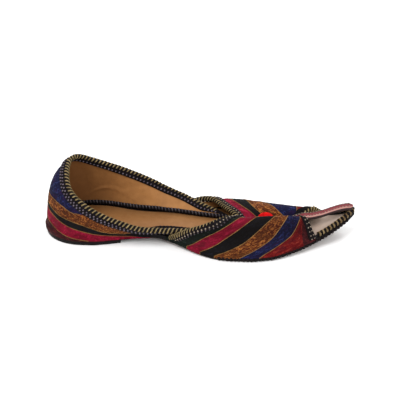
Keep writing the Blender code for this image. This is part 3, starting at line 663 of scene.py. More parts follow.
VALLEY_HALF_WIDTH, VALLEY_RISE = 4.3, 0.2
FOOT_INSET = 1.2
WALL = 1.6
ACROSS = (0.0, 0.15, 0.31, 0.41, 0.505, 0.58, 0.71, 0.875, 1.0)
vamp_row = steady(VAMP[:, 0], VAMP[:, 1:])


@lru_cache(maxsize=256)
def vamp_section(station):
    """Cross-section of the vamp's wall: y and z as a function of across."""
    row = vamp_row(station)
    foot_z = margin_bottom(station) + MARGIN_THICKNESS / 2
    valley_y, valley_z = row[6], row[7] + VALLEY_RISE
    return rounded(ACROSS, (
        (edge_y(station, 1, FOOT_INSET), foot_z), row[0:2], row[2:4], row[4:6],
        (valley_y - VALLEY_HALF_WIDTH, valley_z), (valley_y + VALLEY_HALF_WIDTH, valley_z),
        row[8:10], row[10:12], (edge_y(station, 2, FOOT_INSET), foot_z)))


def vamp_point(station, across):
    """Middle of the vamp's wall."""
    return np.array((station, *vamp_section(float(station))(across)))


print("vamp crest at station 186:", vamp_point(186.0, 0.31).round(1))

# %% [markdown]
# ## Where the ribbons meet
#
# Each ribbon's edge is a line across the vamp.  On both halves the lines sweep forward from the
# sole to the seam valley, so that the ribbons make a row of chevrons that point to the toe.
# The table gives each line's station at the nine points across; the first row is the throat's
# cut edge and the last is the toe opening's.
# %% Ribbon lines of the vamp
# the last band is painted shade on the red ribbon beside the toe opening's tape
VAMP_RIBBONS = ("green", "magenta", "black", "brocade", "blue", "red", "maroon")
VAMP_LINES = np.array((
    (107.5, 120.5, 151.0, 163.0, 168.0, 166.0, 154.5, 134.0, 111.0),
    (126.0, 141.0, 166.0, 171.5, 174.0, 172.0, 157.5, 138.5, 122.0),
    (137.0, 155.5, 179.5, 185.0, 187.0, 184.5, 170.5, 152.5, 139.0),
    (148.3, 174.5, 194.0, 197.0, 197.5, 193.5, 178.0, 167.5, 157.0),
    (168.0, 193.0, 203.8, 205.4, 206.5, 206.0, 194.0, 180.5, 172.0),
    (183.0, 207.4, 213.4, 210.6, 209.4, 210.6, 212.0, 208.0, 200.0),
    # where the red ribbon's painted shade, the maroon band, begins
    (216.5, 215.0, 215.0, 212.0, 210.6, 212.2, 219.6, 223.0, 226.0),
    (226.0, 223.0, 217.6, 214.6, 212.5, 214.0, 224.0, 231.5, 235.0),
))
vamp_lines_at = steady(ACROSS, VAMP_LINES.T)


def vamp_line(line, across):
    """Station where a ribbon line crosses the vamp; part lines lie between their neighbours."""
    lines = vamp_lines_at(across)
    low = min(int(line), len(VAMP_LINES) - 2)
    return lines[low] + (lines[low + 1] - lines[low]) * (line - low)


print("chevron depth of the first line:", VAMP_LINES[1, 4] - VAMP_LINES[1, 0], "mm")

# %% [markdown]
# ## The quarter's surface
#
# The quarter runs from the inner wing's tip round the heel to the outer wing's tip.  "Along"
# goes from 0 to 1 that way, and "up" from the base to the collar.  Its ribbons lie in bands that
# are widest at the heel and run out towards the wings, where only dark leather is left.
# %% The quarter's surface and ribbon lines
QUARTER = np.array((
    # base x and y, share lifted onto the insole, top x, y and z, swell, curl under the collar
    (146.0, 16.2, 1.0, 146.5, 18.0, 8.8, 0.0, 0.0),
    (132.0, 16.4, 1.0, 132.0, 22.0, 13.4, 0.2, 0.0),
    (116.0, 16.8, 1.0, 115.0, 28.2, 18.8, 0.4, 0.0),
    (102.0, 17.2, 1.0, 99.0, 30.5, 25.0, 0.6, 0.0),
    (92.0, 17.8, 0.0, 89.0, 31.0, 30.1, 0.7, 0.0),
    (82.0, 19.6, 0.0, 80.0, 31.0, 34.3, 0.8, 0.0),
    (66.0, 23.2, 0.0, 65.0, 30.5, 40.6, 1.2, 0.0),
    (46.0, 27.5, 0.0, 50.0, 29.2, 46.4, 1.6, 0.1),
    (31.0, 27.4, 0.0, 38.0, 25.8, 51.9, 1.8, 0.2),
    (19.0, 23.6, 0.0, 31.0, 21.8, 56.0, 1.4, 0.35),
    (9.0, 16.4, 0.0, 26.4, 16.2, 58.4, 0.8, 0.46),
    (4.0, 9.2, 0.0, 24.2, 9.2, 58.2, 0.5, 0.54),
    (2.0, 0.0, 0.0, 24.4, 0.0, 55.4, 0.5, 0.56),
    (4.0, -9.2, 0.0, 26.4, -9.6, 51.6, 0.8, 0.54),
    (9.0, -16.6, 0.0, 29.2, -17.0, 47.4, 1.4, 0.46),
    (19.0, -24.0, 0.0, 33.8, -22.6, 43.0, 2.0, 0.35),
    (31.0, -27.8, 0.0, 42.0, -27.8, 37.9, 2.2, 0.2),
    (46.0, -28.1, 0.0, 54.0, -30.0, 30.7, 1.8, 0.1),
    (66.0, -23.6, 0.0, 71.0, -29.6, 22.7, 1.0, 0.0),
    (82.0, -20.6, 0.0, 86.0, -28.5, 17.0, 0.6, 0.0),
    (92.0, -19.4, 0.0, 95.0, -28.0, 15.9, 0.5, 0.0),
    (102.0, -18.8, 1.0, 104.0, -27.5, 15.4, 0.4, 0.0),
    (116.0, -17.4, 1.0, 117.0, -26.0, 14.8, 0.3, 0.0),
    (132.0, -16.8, 1.0, 132.0, -22.5, 12.8, 0.2, 0.0),
    (146.0, -16.6, 1.0, 146.5, -19.0, 8.8, 0.0, 0.0),
))
WING_LIFT = 1.1
RUNS = np.linalg.norm(np.diff((QUARTER[:, :2] + QUARTER[:, 3:5]) / 2, axis=0), axis=1)
QUARTER_KNOTS = np.concatenate(((0.0,), np.cumsum(RUNS))) / RUNS.sum()
QUARTER_LENGTH = RUNS.sum()
quarter_row = rounded(QUARTER_KNOTS, QUARTER)


def quarter_point(along, up):
    """Middle of the quarter's wall."""
    base_x, base_y, on_insole, top_x, top_y, top_z, swell, curl = quarter_row(along)
    in_margin = margin_bottom(base_x) + MARGIN_THICKNESS / 2
    above_insole = insole_top(base_x) + WING_LIFT
    base = np.array((base_x, base_y, in_margin + (above_insole - in_margin) * min(1.0, max(0.0, on_insole))))
    top = np.array((top_x, top_y, top_z))
    run = quarter_row(along + 0.002)[:2] - quarter_row(along - 0.002)[:2]
    outward = unit(np.array((run[1], -run[0], 0.0)))
    lean = (1.0 - curl) * up + curl * up**8
    return base + (top - base) * np.array((lean, lean, up)) + outward * swell * 4 * up * (1 - up)


HEEL_ALONG = 0.505
SKIRT_UP = 0.07
QUARTER_RIBBONS = ("maroon", "magenta", "black", "brocade", "blue")
QUARTER_LINES = np.array((
    # distance from the heel's back in shares of the run, then "up" of each ribbon's upper edge
    (0.000, 0.215, 0.450, 0.525, 0.600),
    (0.043, 0.190, 0.415, 0.520, 0.690),
    (0.066, 0.160, 0.405, 0.512, 0.720),
    (0.086, 0.080, 0.365, 0.490, 0.725),
    (0.113, 0.030, 0.308, 0.487, 0.700),
    (0.140, -0.020, 0.270, 0.480, 0.780),
    (0.165, -0.045, 0.225, 0.440, 0.840),
    (0.190, -0.055, 0.170, 0.360, 0.850),
    (0.220, -0.060, 0.095, 0.270, 0.850),
    (0.250, -0.062, 0.050, 0.260, 0.850),
    (0.275, -0.062, 0.000, 0.460, 0.860),
    (0.310, -0.062, -0.050, 0.750, 0.880),
    (0.500, -0.062, -0.050, 0.750, 0.880),
))
quarter_lines_at = steady(QUARTER_LINES[:, 0], QUARTER_LINES[:, 1:])


def quarter_line(line, along):
    """Height share of a ribbon line on the quarter, from 0 at the skirt's end to 5 at the collar."""
    lines = (-SKIRT_UP, *quarter_lines_at(abs(along - HEEL_ALONG)), 1.0)
    low = min(int(line), len(QUARTER_RIBBONS) - 1)
    return lines[low] + (lines[low + 1] - lines[low]) * (line - low)


print("the quarter runs", round(QUARTER_LENGTH), "mm from wing to wing")

# %% [markdown]
# ## Walls from a grid
#
# Vamp and quarter are made the same way.  A grid of points on the surface is pushed out to the
# ribbons' side and in to the lining's side, and the two skins are closed round the edge.  The
# grid's rows lie exactly on the ribbon lines, so every ribbon is a strip of whole faces with
# its own finish.  Between two lines the cloth is puffed a little, as it is on its padding, and
# a few creases press it in.
# %% Striped walls
RIBBON_PUFF, PUFF_FULLNESS = 0.26, 0.6
CREASE_BEND = 0.012
LIP_HEIGHT, LIP_PLACE = 0.45, 1.7       # the ridge beside a crease, in shares of its depth and width
WALL_SHARP = 60.0


def wall(name, outside, inside, rows, finishes, row_slots, uv):
    """Closed wall between two grids of points; row_slots gives the outer skin's finish by row."""
    under = len(outside)
    columns = under // rows
    faces, slots = [], []
    for i in range(rows - 1):
        for j in range(columns - 1):
            corner = (i * columns + j, i * columns + j + 1, (i + 1) * columns + j + 1, (i + 1) * columns + j)
            faces += [corner, tuple(under + c for c in corner[::-1])]
            slots += [row_slots[i], 0]
    rim = (list(range(columns)) + [i * columns + columns - 1 for i in range(1, rows)]
           + [(rows - 1) * columns + j for j in range(columns - 2, -1, -1)]
           + [i * columns for i in range(rows - 2, 0, -1)])
    for here, after in zip(rim, rim[1:] + rim[:1]):
        faces.append((here, after, under + after, under + here))
        slots.append(max(1, row_slots[0]) if here < columns and after < columns else 0)
    return make_piece(name, outside + inside, faces, finishes, slots, uv + uv, WALL_SHARP)


def puff(line):
    """How far the cloth stands out at a place between two ribbon lines."""
    return RIBBON_PUFF * math.sin(math.pi * (line % 1.0)) ** PUFF_FULLNESS if line % 1.0 else 0.0


def striped(name, names, rows_each, places, skins_at, relief_at):
    """Wall of named ribbons; relief_at gives what is pressed in outside, raised inside, and the UV."""
    lines = np.linspace(0.0, len(names), len(names) * rows_each + 1)
    outside, inside, uv = [], [], []
    for line in lines:
        for spot in places:
            outer, inner, normal = skins_at(line, spot)
            fade, pressed, raised, on_cloth = relief_at(line, spot, outer)
            outside.append(outer + normal * (puff(line) - pressed) * fade)
            inside.append(inner + normal * raised * fade)
            uv.append(on_cloth)
    slots = [1 + min(int(line), len(names) - 1) for line in lines[:-1] + 1e-6]
    return wall(name, outside, inside, len(lines), [plain["lining"]] + [ribbons[n] for n in names], slots, uv)


def crease_depth(creases, x, y):
    """Sum of the soft troughs at a place on the unrolled cloth, in millimetres."""
    depth = 0.0
    for middle_x, middle_y, degrees, length, width, deep, *bend in creases:
        turn = math.radians(degrees)
        along = (x - middle_x) * math.cos(turn) + (y - middle_y) * math.sin(turn)
        beside = -(x - middle_x) * math.sin(turn) + (y - middle_y) * math.cos(turn)
        beside += (bend[0] if bend else CREASE_BEND) * along**2
        lip = LIP_HEIGHT * math.exp(-((beside - LIP_PLACE * width) / width) ** 2)
        depth += deep * (math.exp(-(beside / width) ** 2) - lip) * math.exp(-(along / length) ** 2)
    return depth


print("wall helpers ready")

# %% [markdown]
# ### The cloth goes over the sole's edge
#
# On the real shoe the ribbons don't stop at the upper's foot.  They are drawn down over the
# sole's side: nearly to the ground side at the waist, and less far at the heel and forefoot.
# So the outer skin flares out to the sole's edge low down, and ends in a thin skirt.
# %% The outer skin and its skirt
SKIRT_CLEAR = 0.12
SKIRT_SKIN = 0.5
WING_SKIRT = 0.4                # the skirt's depth where the wings stand on the insole
FLARE_HEIGHT = 1.9
FLARE_REACH = 8.0
NUDGE = 0.001                   # change of a share that shows a surface's direction
STATION_NUDGE = 0.2             # the same for a station
skirt_rise = steady((0.0, 30.0, 50.0, 84.0, 128.0, 156.0, 180.0, 235.0, 258.0),
                    (1.0, 0.8, 0.2, 0.3, 0.5, 2.1, 3.0, 3.0, 2.6))


def framed(surface, first, second):
    """Point and unit normal of a surface of two parameters."""
    wide = STATION_NUDGE if surface is vamp_point else NUDGE
    along = surface(first + wide, second) - surface(first - wide, second)
    over = surface(first, second + NUDGE) - surface(first, second - NUDGE)
    return surface(first, second), unit(np.cross(along, over))


def over_edge(point, outward, weight):
    """A point of the outer skin, moved out to the sole's edge if it lies low."""
    low_down = weight * eased((margin_top(point[0]) + FLARE_HEIGHT - point[2]) / FLARE_HEIGHT)
    if low_down <= 0.0:
        return point

    def above_sole(reach):
        x, y, _ = point + outward * reach
        return edge_y(x, 1, -SKIRT_CLEAR) < y < edge_y(x, 2, -SKIRT_CLEAR)

    return point + outward * halved(0.0, FLARE_REACH, above_sole) * low_down


def skins(surface, first, second, depth=0.0, weight=1.0):
    """Outer skin, inner skin and normal at a place; depth, 0 to 1, goes down the skirt."""
    point, normal = framed(surface, first, second)
    outward = unit(np.array((normal[0], normal[1], 0.0)))
    outer = over_edge(point + normal * WALL / 2, outward, weight)
    inner = point - normal * WALL / 2
    if depth > 0.0:
        to_foot = outer[2] - underside(outer[0]) - skirt_rise(outer[0])
        outer = outer - UP * depth * (weight * to_foot + (1.0 - weight) * WING_SKIRT)
        inner = outer - outward * SKIRT_SKIN
    return outer, inner, normal


def vamp_skins(line, across):
    """Skins of the vamp on a ribbon line; across below 0 and above 1 is the skirt."""
    within = min(max(across, 0.0), 1.0)
    return skins(vamp_point, vamp_line(line, within), within, abs(across - within) / SKIRT_UP)


def quarter_skins(line, along):
    """Skins of the quarter on a ribbon line; the skirt fades where the wings stand on the insole."""
    up = quarter_line(line, along)
    on_margin = 1.0 - min(1.0, max(0.0, quarter_row(along)[2]))
    return skins(quarter_point, along, max(up, 0.0), max(0.0, -up) / SKIRT_UP, on_margin)


print("skirt ends above the sole's underside by", skirt_rise(0.0), "mm at the heel's back")

# %% [markdown]
# ### The vamp
#
# The vamp is padded, so each ribbon bulges a little between its seams.  The creases run where
# the foot bends, and across the crest where the padding has folded.
# %% The vamp
VAMP_WIDTH = 105.0              # of the unrolled cloth, over the crest
VAMP_COLUMNS = 130
VAMP_FADE = 0.05                # share of the width over which creases die out at each foot
LINING_FOLLOWS = 0.5            # how much of the vamp's creases its lining shows
RIBBON_CLOTH = 1.15             # centimetres of pattern for one ribbon
# station, across, direction in degrees from the foot's axis, length, width, depth
VAMP_CREASES = [(station, across * VAMP_WIDTH, *rest) for station, across, *rest in (
    (150.0, 0.10, 62.0, 16.0, 3.2, 0.50),
    (163.0, 0.12, 70.0, 15.0, 2.8, 0.42),
    (178.0, 0.09, 74.0, 13.0, 2.6, 0.36),
    (192.0, 0.16, 66.0, 12.0, 2.6, 0.36),
    (172.0, 0.27, 10.0, 22.0, 3.0, 0.30),
    (148.0, 0.88, -58.0, 14.0, 3.0, 0.40),
    (176.0, 0.86, -66.0, 13.0, 2.8, 0.32),
    (204.0, 0.24, 52.0, 9.0, 2.2, 0.30),
)]


def vamp_relief(line, across, outer):
    """Creases of the vamp, and the place on the cloth in centimetres."""
    fade = max(0.0, min(1.0, across / VAMP_FADE, (1.0 - across) / VAMP_FADE))
    pressed = crease_depth(VAMP_CREASES, outer[0], across * VAMP_WIDTH) if fade else 0.0
    return fade, pressed, -LINING_FOLLOWS * pressed, (across * VAMP_WIDTH / 10.0, line * RIBBON_CLOTH)


skirt = SKIRT_UP * np.array((1.0, 0.6, 0.25))
vamp_places = np.concatenate((-skirt, np.linspace(0.0, 1.0, VAMP_COLUMNS + 1), 1.0 + skirt[::-1]))
vamp = striped("vamp", VAMP_RIBBONS, 8, vamp_places, vamp_skins, vamp_relief)

# %% [markdown]
# ### The quarter
#
# The quarter's bands run lengthwise, so its rows go from the skirt to the collar.  Inside, the
# lining has one long curved ridge on the inner side of the foot, where the leather was folded
# over the last, and softer dents round the heel.
# %% The quarter
QUARTER_HEIGHT = 34.0
HEIGHT_FADE, RUN_FADE = 0.12, 0.04      # shares over which creases die out
# share of the run, height in millimetres, direction, length, width, depth, bend
LINING_CREASES, OUTER_CREASES = ([(share * QUARTER_LENGTH, *rest) for share, *rest in rows] for rows in ((
    (0.315, 14.6, 0.0, 19.0, 0.95, -0.80, 0.017),
    (0.255, 21.0, -24.0, 16.0, 2.2, 0.30),
    (0.395, 22.0, 60.0, 14.0, 4.0, 0.60),
    (0.452, 25.0, 82.0, 14.0, 4.5, 0.60),
    (0.565, 20.0, 100.0, 12.0, 4.0, 0.50),
    (0.215, 12.0, 34.0, 14.0, 3.6, 0.35),
), (
    (0.560, 20.0, 84.0, 12.0, 3.6, 0.40),
    (0.610, 16.0, 72.0, 11.0, 3.2, 0.36),
    (0.660, 12.0, 30.0, 16.0, 2.6, 0.32),
    (0.470, 24.0, 95.0, 14.0, 4.0, 0.30),
    (0.390, 22.0, 100.0, 13.0, 3.6, 0.32),
    (0.300, 16.0, 120.0, 12.0, 3.2, 0.30),
)))


def wing_to_wing(count):
    """Places along the quarter, closer together round the heel."""
    even = np.linspace(-1.0, 1.0, count)
    return 0.5 + 0.5 * (0.72 * even + 0.28 * even**3)


def quarter_relief(line, along, outer):
    """Creases of the quarter and its lining, and the place on the cloth in centimetres."""
    up = quarter_line(line, along)
    run, rise = along * QUARTER_LENGTH, up * QUARTER_HEIGHT
    edges = [share / fade for place, fade in ((up, HEIGHT_FADE), (along, RUN_FADE))
             for share in (place, 1.0 - place)]
    return (max(0.0, min(1.0, *edges)), crease_depth(OUTER_CREASES, run, rise),
            crease_depth(LINING_CREASES, run, rise), (run / 10.0, rise / 10.0))


quarter = striped("quarter", QUARTER_RIBBONS, 10, wing_to_wing(281), quarter_skins, quarter_relief)

# %% [markdown]
# ### The lasting margin
#
# Vamp and quarter end in a leather rim that lies flat on the sole all round.  From outside only
# its dark edge shows, between the ribbons and the sole.
# %% The lasting margin
MARGIN_FOOT = -0.7 * GAP        # the leather sinks a little into the paste under it
margin_profile = ((0.0, MARGIN_FOOT), (0.0, MARGIN_THICKNESS - 0.3), (0.3, MARGIN_THICKNESS),
                  (MARGIN_WIDTH, MARGIN_THICKNESS), (MARGIN_WIDTH, MARGIN_FOOT))
margin_points = loops_on(margin_bottom, MARGIN_INSET, margin_profile)
margin_loops = len(margin_profile)
margin = make_piece("lasting_margin", margin_points,
                    bridge(len(margin_points) // margin_loops, margin_loops, closed=True),
                    (plain["sole_edge"],))

# %% [markdown]
# ## Tape folded over the cut edges
#
# Collar, throat and toe opening are bound with black tape.  A binder folds it over the edge so
# that two legs lie on the wall, and the fold stands up as a soft roll.  The section is made at
# many places along the edge: leg, roll, leg, and back along the wall.  The same sections give
# the rails on which the whip stitches are set later.  The collar's tape runs on past the wings'
# tips as a tapering tail, which is tucked under the vamp.
# %% Folded tape
BINDING_HALF = 1.92             # wall's middle to the tape's outer face
BINDING_INNER = 0.9             # wall's middle to the tape's inner face
BINDING_CROWN = 1.5             # how far the roll stands beyond the edge
COLLAR_LEGS = (6.4, 5.4)
COLLAR_ABOVE_INSOLE = 3.2
FRONT_LEGS = (4.8, 4.0)
FRONT_ENDS = 0.042              # share of the width that a front tape leaves free at each foot
FIRST_STRIDE, STRIDE_ROUNDS = 0.01, 4       # how the places of a leg are found
LEAST_LEG = 0.2                 # share of a leg that is kept where the floor cuts it
ROLL_STEPS = 11
LEG_PROFILE = ((1.0, -0.45), (0.93, 0.0), (0.7, 0.05), (0.45, 0.05), (0.2, 0.0))    # share, swell
TAIL = ((4.0, 0.85), (8.0, 0.62), (12.0, 0.4))      # distance past the tip, share of full size


def leg_stride(surface, spot, run, inwards, reach, floor):
    """Change of parameters that leads a distance away from the edge, kept above a floor."""
    start = surface(*spot)
    stride = FIRST_STRIDE * np.array(inwards)
    for _ in range(STRIDE_ROUNDS):
        travel = surface(*(spot + stride)) - start
        stride = stride * reach / np.linalg.norm(travel - run * np.dot(travel, run))
    end = surface(*(spot + stride))
    if end[2] < floor(end[0]):
        stride = stride * max(LEAST_LEG, (start[2] - floor(end[0])) / (start[2] - end[2]))
    return stride


def with_tails(sections):
    """Tape sections, each an edge point and its points, with a tapering tail at both ends."""
    for end, beside, before in ((0, 1, True), (-1, -2, False)):
        (tip, last), ahead = sections[end], unit(sections[end][0] - sections[beside][0])
        tail = [(tip + ahead * gone, [tip + ahead * gone + (p - tip) * share for p in last])
                for gone, share in TAIL]
        sections = tail[::-1] + sections if before else sections + tail
    return sections


def fold_tape(name, surface, edge, inwards, legs, floor, tails=False):
    """Folded tape; returns its object and, for each place, spot, edge point, away and strides."""
    ends = [surface(*spot) for spot in edge]
    sections, places = [], []
    for index, spot in enumerate(edge):
        point, normal = framed(surface, *spot)
        run = unit(ends[min(index + 1, len(edge) - 1)] - ends[max(index - 1, 0)])
        strides = [leg_stride(surface, spot, run, inwards, leg, floor) for leg in legs]
        away = unit(np.cross(normal, run))
        if np.dot(away, surface(*(spot + strides[0] * 0.3)) - point) > 0.0:
            away = -away
        halves = []
        for stride, side in zip(strides, (1.0, -1.0)):
            feet = [(*framed(surface, *(spot + stride * share)), swell) for share, swell in LEG_PROFILE]
            halves.append(([foot + up * side * (BINDING_HALF + swell) for foot, up, swell in feet],
                           [foot + up * side * BINDING_INNER for foot, up, _ in feet]))
        roll = [point + away * BINDING_CROWN * math.sin(turn) + normal * BINDING_HALF * math.cos(turn)
                for turn in np.radians(np.linspace(0.0, 180.0, ROLL_STEPS))]
        (outer, inner), (far_outer, far_inner) = halves
        sections.append((point, outer + roll + far_outer[::-1] + far_inner + inner[::-1]))
        places.append((spot, point, away, strides))
    sections = with_tails(sections) if tails else sections
    points = [p for _, section in sections for p in section]
    faces = capped(len(sections[0][1]), len(sections))
    return make_piece(name, points, faces, (plain["tape_black"],)), places


def front_edge(line):
    """Places along a cut edge of the vamp."""
    return [np.array((vamp_line(line, a), a)) for a in np.linspace(FRONT_ENDS, 1.0 - FRONT_ENDS, 121)]


collar_tape, collar_places = fold_tape(
    "collar_tape", quarter_point, [np.array((along, 1.0)) for along in wing_to_wing(201)], (0.0, -1.0),
    COLLAR_LEGS, lambda x: insole_top(x) + COLLAR_ABOVE_INSOLE, tails=True)
throat_tape, throat_places = fold_tape(
    "throat_tape", vamp_point, front_edge(0), (1.0, 0.0), FRONT_LEGS, margin_top)
opening_tape, opening_places = fold_tape(
    "toe_opening_tape", vamp_point, front_edge(len(VAMP_RIBBONS)), (-1.0, 0.0), FRONT_LEGS, margin_top)

# %% [markdown]
# ## Whip stitches on rails
#
# Every row of stitches repeats one small bent stitch along a line, and the pompom repeats one
# tuft, and that is a job for Geometry Nodes.  Both trees start from places that carry an "away"
# direction, and end in the same way: a form at each place, made real and given its finish.
#
# For stitches the places are a chain of edges, called a rail here.  The tree walks the rail at
# an even pitch, sets a stitch at each step with its height along "away", leans it and varies
# its size a little.  Tufts don't follow a line: there is one at each point, aimed outwards,
# with a random lean and length.
# %% The stitch tree and the tuft tree
TUFT_SIZES = (0.8, 1.15)


def growing_net(name, *inputs):
    """Net of a tree that repeats a form, its given inputs, and the places' away direction."""
    net = new_net(name, "Geometry", (("Places", "Geometry"), ("Form", "Object"), *inputs, ("Seed", "Int"),
                                     ("Finish", "Material")), (("Result", "Geometry"),))
    away = net.node("GeometryNodeInputNamedAttribute", {"Name": "away"}, data_type="FLOAT_VECTOR")
    return net, net.given, away.outputs["Attribute"]


def random_between(net, least, most, kind="FLOAT"):
    """A random value for each place."""
    return net.first("FunctionNodeRandomValue", {"Min": least, "Max": most, "Seed": net.given["Seed"]},
                     data_type=kind)


def turned(net, rotation, by):
    """A rotation turned further about its own axes."""
    return net.first("FunctionNodeRotateRotation", {"Rotation": rotation, "Rotate By": by},
                     rotation_space="LOCAL")


def sow(net, places, rotation, size):
    """Ends a tree: the form at each place, made real and given its finish."""
    form = net.node("GeometryNodeObjectInfo", {"Object": net.given["Form"]}, transform_space="ORIGINAL")
    grown = net.first("GeometryNodeInstanceOnPoints", {
        "Points": places, "Instance": form.outputs["Geometry"], "Rotation": rotation, "Scale": size})
    solid = net.first("GeometryNodeRealizeInstances", {"Geometry": grown})
    return net.give(Result=net.first("GeometryNodeSetMaterial", {
        "Geometry": solid, "Material": net.given["Finish"]}))


def stitch_tree():
    """Tree that walks a rail at an even pitch and sets a leaning form at each step."""
    net, given, away = growing_net("stitches_on_a_rail", ("Pitch", "Float"), ("Lean", "Float"),
                                   ("Variation", "Float"))
    rail = net.first("GeometryNodeMeshToCurve", {"Mesh": given["Places"]})
    steps = net.first("GeometryNodeResampleCurve", {"Curve": rail, "Length": given["Pitch"]}, mode="LENGTH")
    spots = net.node("GeometryNodeCurveToPoints", {"Curve": steps}, mode="EVALUATED").outputs
    aim = net.first("FunctionNodeAxesToRotation", {
        "Primary Axis": away, "Secondary Axis": spots["Tangent"]}, primary_axis="Z", secondary_axis="X")
    lean = net.first("ShaderNodeCombineXYZ", {"Z": given["Lean"]})
    smallest, largest = net.math("SUBTRACT", 1.0, given["Variation"]), net.plus(1.0, given["Variation"])
    return sow(net, spots["Points"], turned(net, aim, lean), random_between(net, smallest, largest))


def tuft_tree():
    """Tree that sets a form at each point, with a random lean and size."""
    net, given, away = growing_net("tufts_on_points", ("Lean", "Float"))
    least, most = (net.first("ShaderNodeCombineXYZ", {"X": lean, "Y": lean})
                   for lean in (net.times(given["Lean"], -1.0), given["Lean"]))
    aim = net.first("FunctionNodeAlignRotationToVector", {"Vector": away}, axis="Z")
    tilt = random_between(net, least, most, "FLOAT_VECTOR")
    return sow(net, given["Places"], turned(net, aim, tilt), random_between(net, *TUFT_SIZES))


STITCHES = stitch_tree()
TUFTS = tuft_tree()
for tree in (STITCHES, TUFTS):
    print(tree.name, "inputs:", [item.name for item in tree.interface.items_tree if item.in_out == "INPUT"])

# %% [markdown]
# The stitch itself is a short bent tube with a flat base, drawn once in millimetres: x runs
# along the rail, y across it and z away from the surface.  Its ends dip under the surface, as
# a stitch's ends do.  A slant moves it along the rail as it goes over, like the turns of a
# spring.  Whatever a tree grows is then taken as a plain mesh.
# %% Forms, and the functions that repeat them
STITCH_SECTION = ((-0.5, -0.25), (-0.38, 0.55), (0.0, 1.0), (0.38, 0.55), (0.5, -0.25))
STITCH_SEED = 1
SLIM_END = 0.55


def form_of(points, faces):
    """A small form, given in millimetres, for a tree to repeat."""
    mesh = bpy.data.meshes.new("form")
    mesh.from_pydata([(x * MM, y * MM, z * MM) for x, y, z in points], [], faces)
    turn_outwards(mesh)
    mesh.shade_smooth()
    return show("form", mesh)


def stitch_form(path, width, height, slant=0.0):
    """Bent stitch along a path of (y, z) points with a rounded section."""
    path = np.array(path, float)
    gone = np.concatenate(((0.0,), np.cumsum(np.linalg.norm(np.diff(path, axis=0), axis=1))))
    last = len(path) - 1
    points = []
    for index, spot in enumerate(path):
        ahead = path[min(index + 1, last)] - path[max(index - 1, 0)]
        side = unit(np.array((-ahead[1], ahead[0])))
        slim = SLIM_END if index in (0, last) else 1.0
        shift = slant * (gone[-1] / 2 - gone[index])
        points += [(x * width * slim + shift, *(spot + side * rise * height * slim))
                   for x, rise in STITCH_SECTION]
    return form_of(points, capped(len(STITCH_SECTION), len(path)))


def grow(name, tree, spots, edges, form, finish_name, **values):
    """Runs a tree on (point, away) spots, joined by edges, and keeps the result as a plain mesh."""
    mesh = bpy.data.meshes.new(name + "_places")
    mesh.from_pydata([in_frame(point) for point, _ in spots], edges, [])
    aways = np.ravel([tuple(away) for _, away in spots])
    mesh.attributes.new("away", "FLOAT_VECTOR", "POINT").data.foreach_set("vector", aways)
    carrier = show(name + "_places", mesh)
    modifier = carrier.modifiers.new("grow", "NODES")
    modifier.node_group = tree
    values |= {"Form": form, "Finish": plain[finish_name]}
    for item in tree.interface.items_tree:
        if item.in_out == "INPUT" and item.name in values:
            modifier[item.identifier] = values[item.name]
    grown = bpy.data.meshes.new_from_object(carrier.evaluated_get(bpy.context.evaluated_depsgraph_get()))
    grown.materials.clear()
    grown.materials.append(plain[finish_name])
    if "away" in grown.attributes:
        grown.attributes.remove(grown.attributes["away"])
    grown.shade_smooth()
    for used in (carrier, form):
        bpy.data.objects.remove(used)
    print(f"{name}: {len(grown.polygons)} faces")
    return show(name, grown)


def set_stitches(name, rails, form, pitch, finish_name, lean=0.0, variation=0.06):
    """Row of stitches along rails; a rail is a list of (point, away) in station millimetres."""
    spots, edges = [], []
    for rail in rails:
        edges += [(len(spots) + i, len(spots) + i + 1) for i in range(len(rail) - 1)]
        spots += rail
    return grow(name, STITCHES, spots, edges, form, finish_name, Pitch=pitch * MM,
                Lean=math.radians(lean), Variation=variation, Seed=STITCH_SEED)


# %% [markdown]
# ### Bars over the roll and dots on the legs
#
# On each tape a gold thread goes over the roll in close slanted bars.  A second, paler thread
# shows as rows of short dots on the legs just below: on the collar two rows outside and one
# inside.  The outer half of the toe opening has only rows of dots, and its inner half only
# bars.  The rails of the bars lie on the cut edge, and those of the dots on the tape's faces.
# %% Stitches of the three tapes
BAR_SLANT = 0.42
DOT_PITCH = 3.2
DOT_HEIGHT = 0.36


def bars(name, places, reach, width, height, pitch):
    """Gold bars over a tape's roll, reaching a distance down each leg."""
    half = [(2.06, -reach), (2.2, -reach + 0.7), (2.1, 0.0), (1.62, 0.95), (0.86, 1.52)]
    path = half + [(0.0, 1.7)] + [(-y, z) for y, z in half[::-1]]
    rail = [(point, away) for _, point, away, _ in places]
    return set_stitches(name, [rail], stitch_form(path, width, height, BAR_SLANT), pitch, "thread_gold")


def leg_rail(places, surface, legs, leg, depth):
    """Rail on one face of the tape, a depth in millimetres from the edge."""
    side = 1.0 if leg == 0 else -1.0
    rail = []
    for spot, _, _, strides in places:
        foot, normal = framed(surface, *(spot + strides[leg] * depth / legs[leg]))
        rail.append((foot + normal * side * (BINDING_HALF + 0.08), normal * side))
    return rail


def dots(name, places, tape, rows, finish_name, width, half=0.6, lean=0.0):
    """Rows of dots on a tape; a row is a leg and a depth, and half is half a dot's length."""
    rails = [leg_rail(places, *tape, leg, depth) for leg, depth in rows]
    path = ((-half, -0.12), (-0.6 * half, 0.12), (0.6 * half, 0.12), (half, -0.12))
    return set_stitches(name, rails, stitch_form(path, width, DOT_HEIGHT), DOT_PITCH, finish_name, lean)


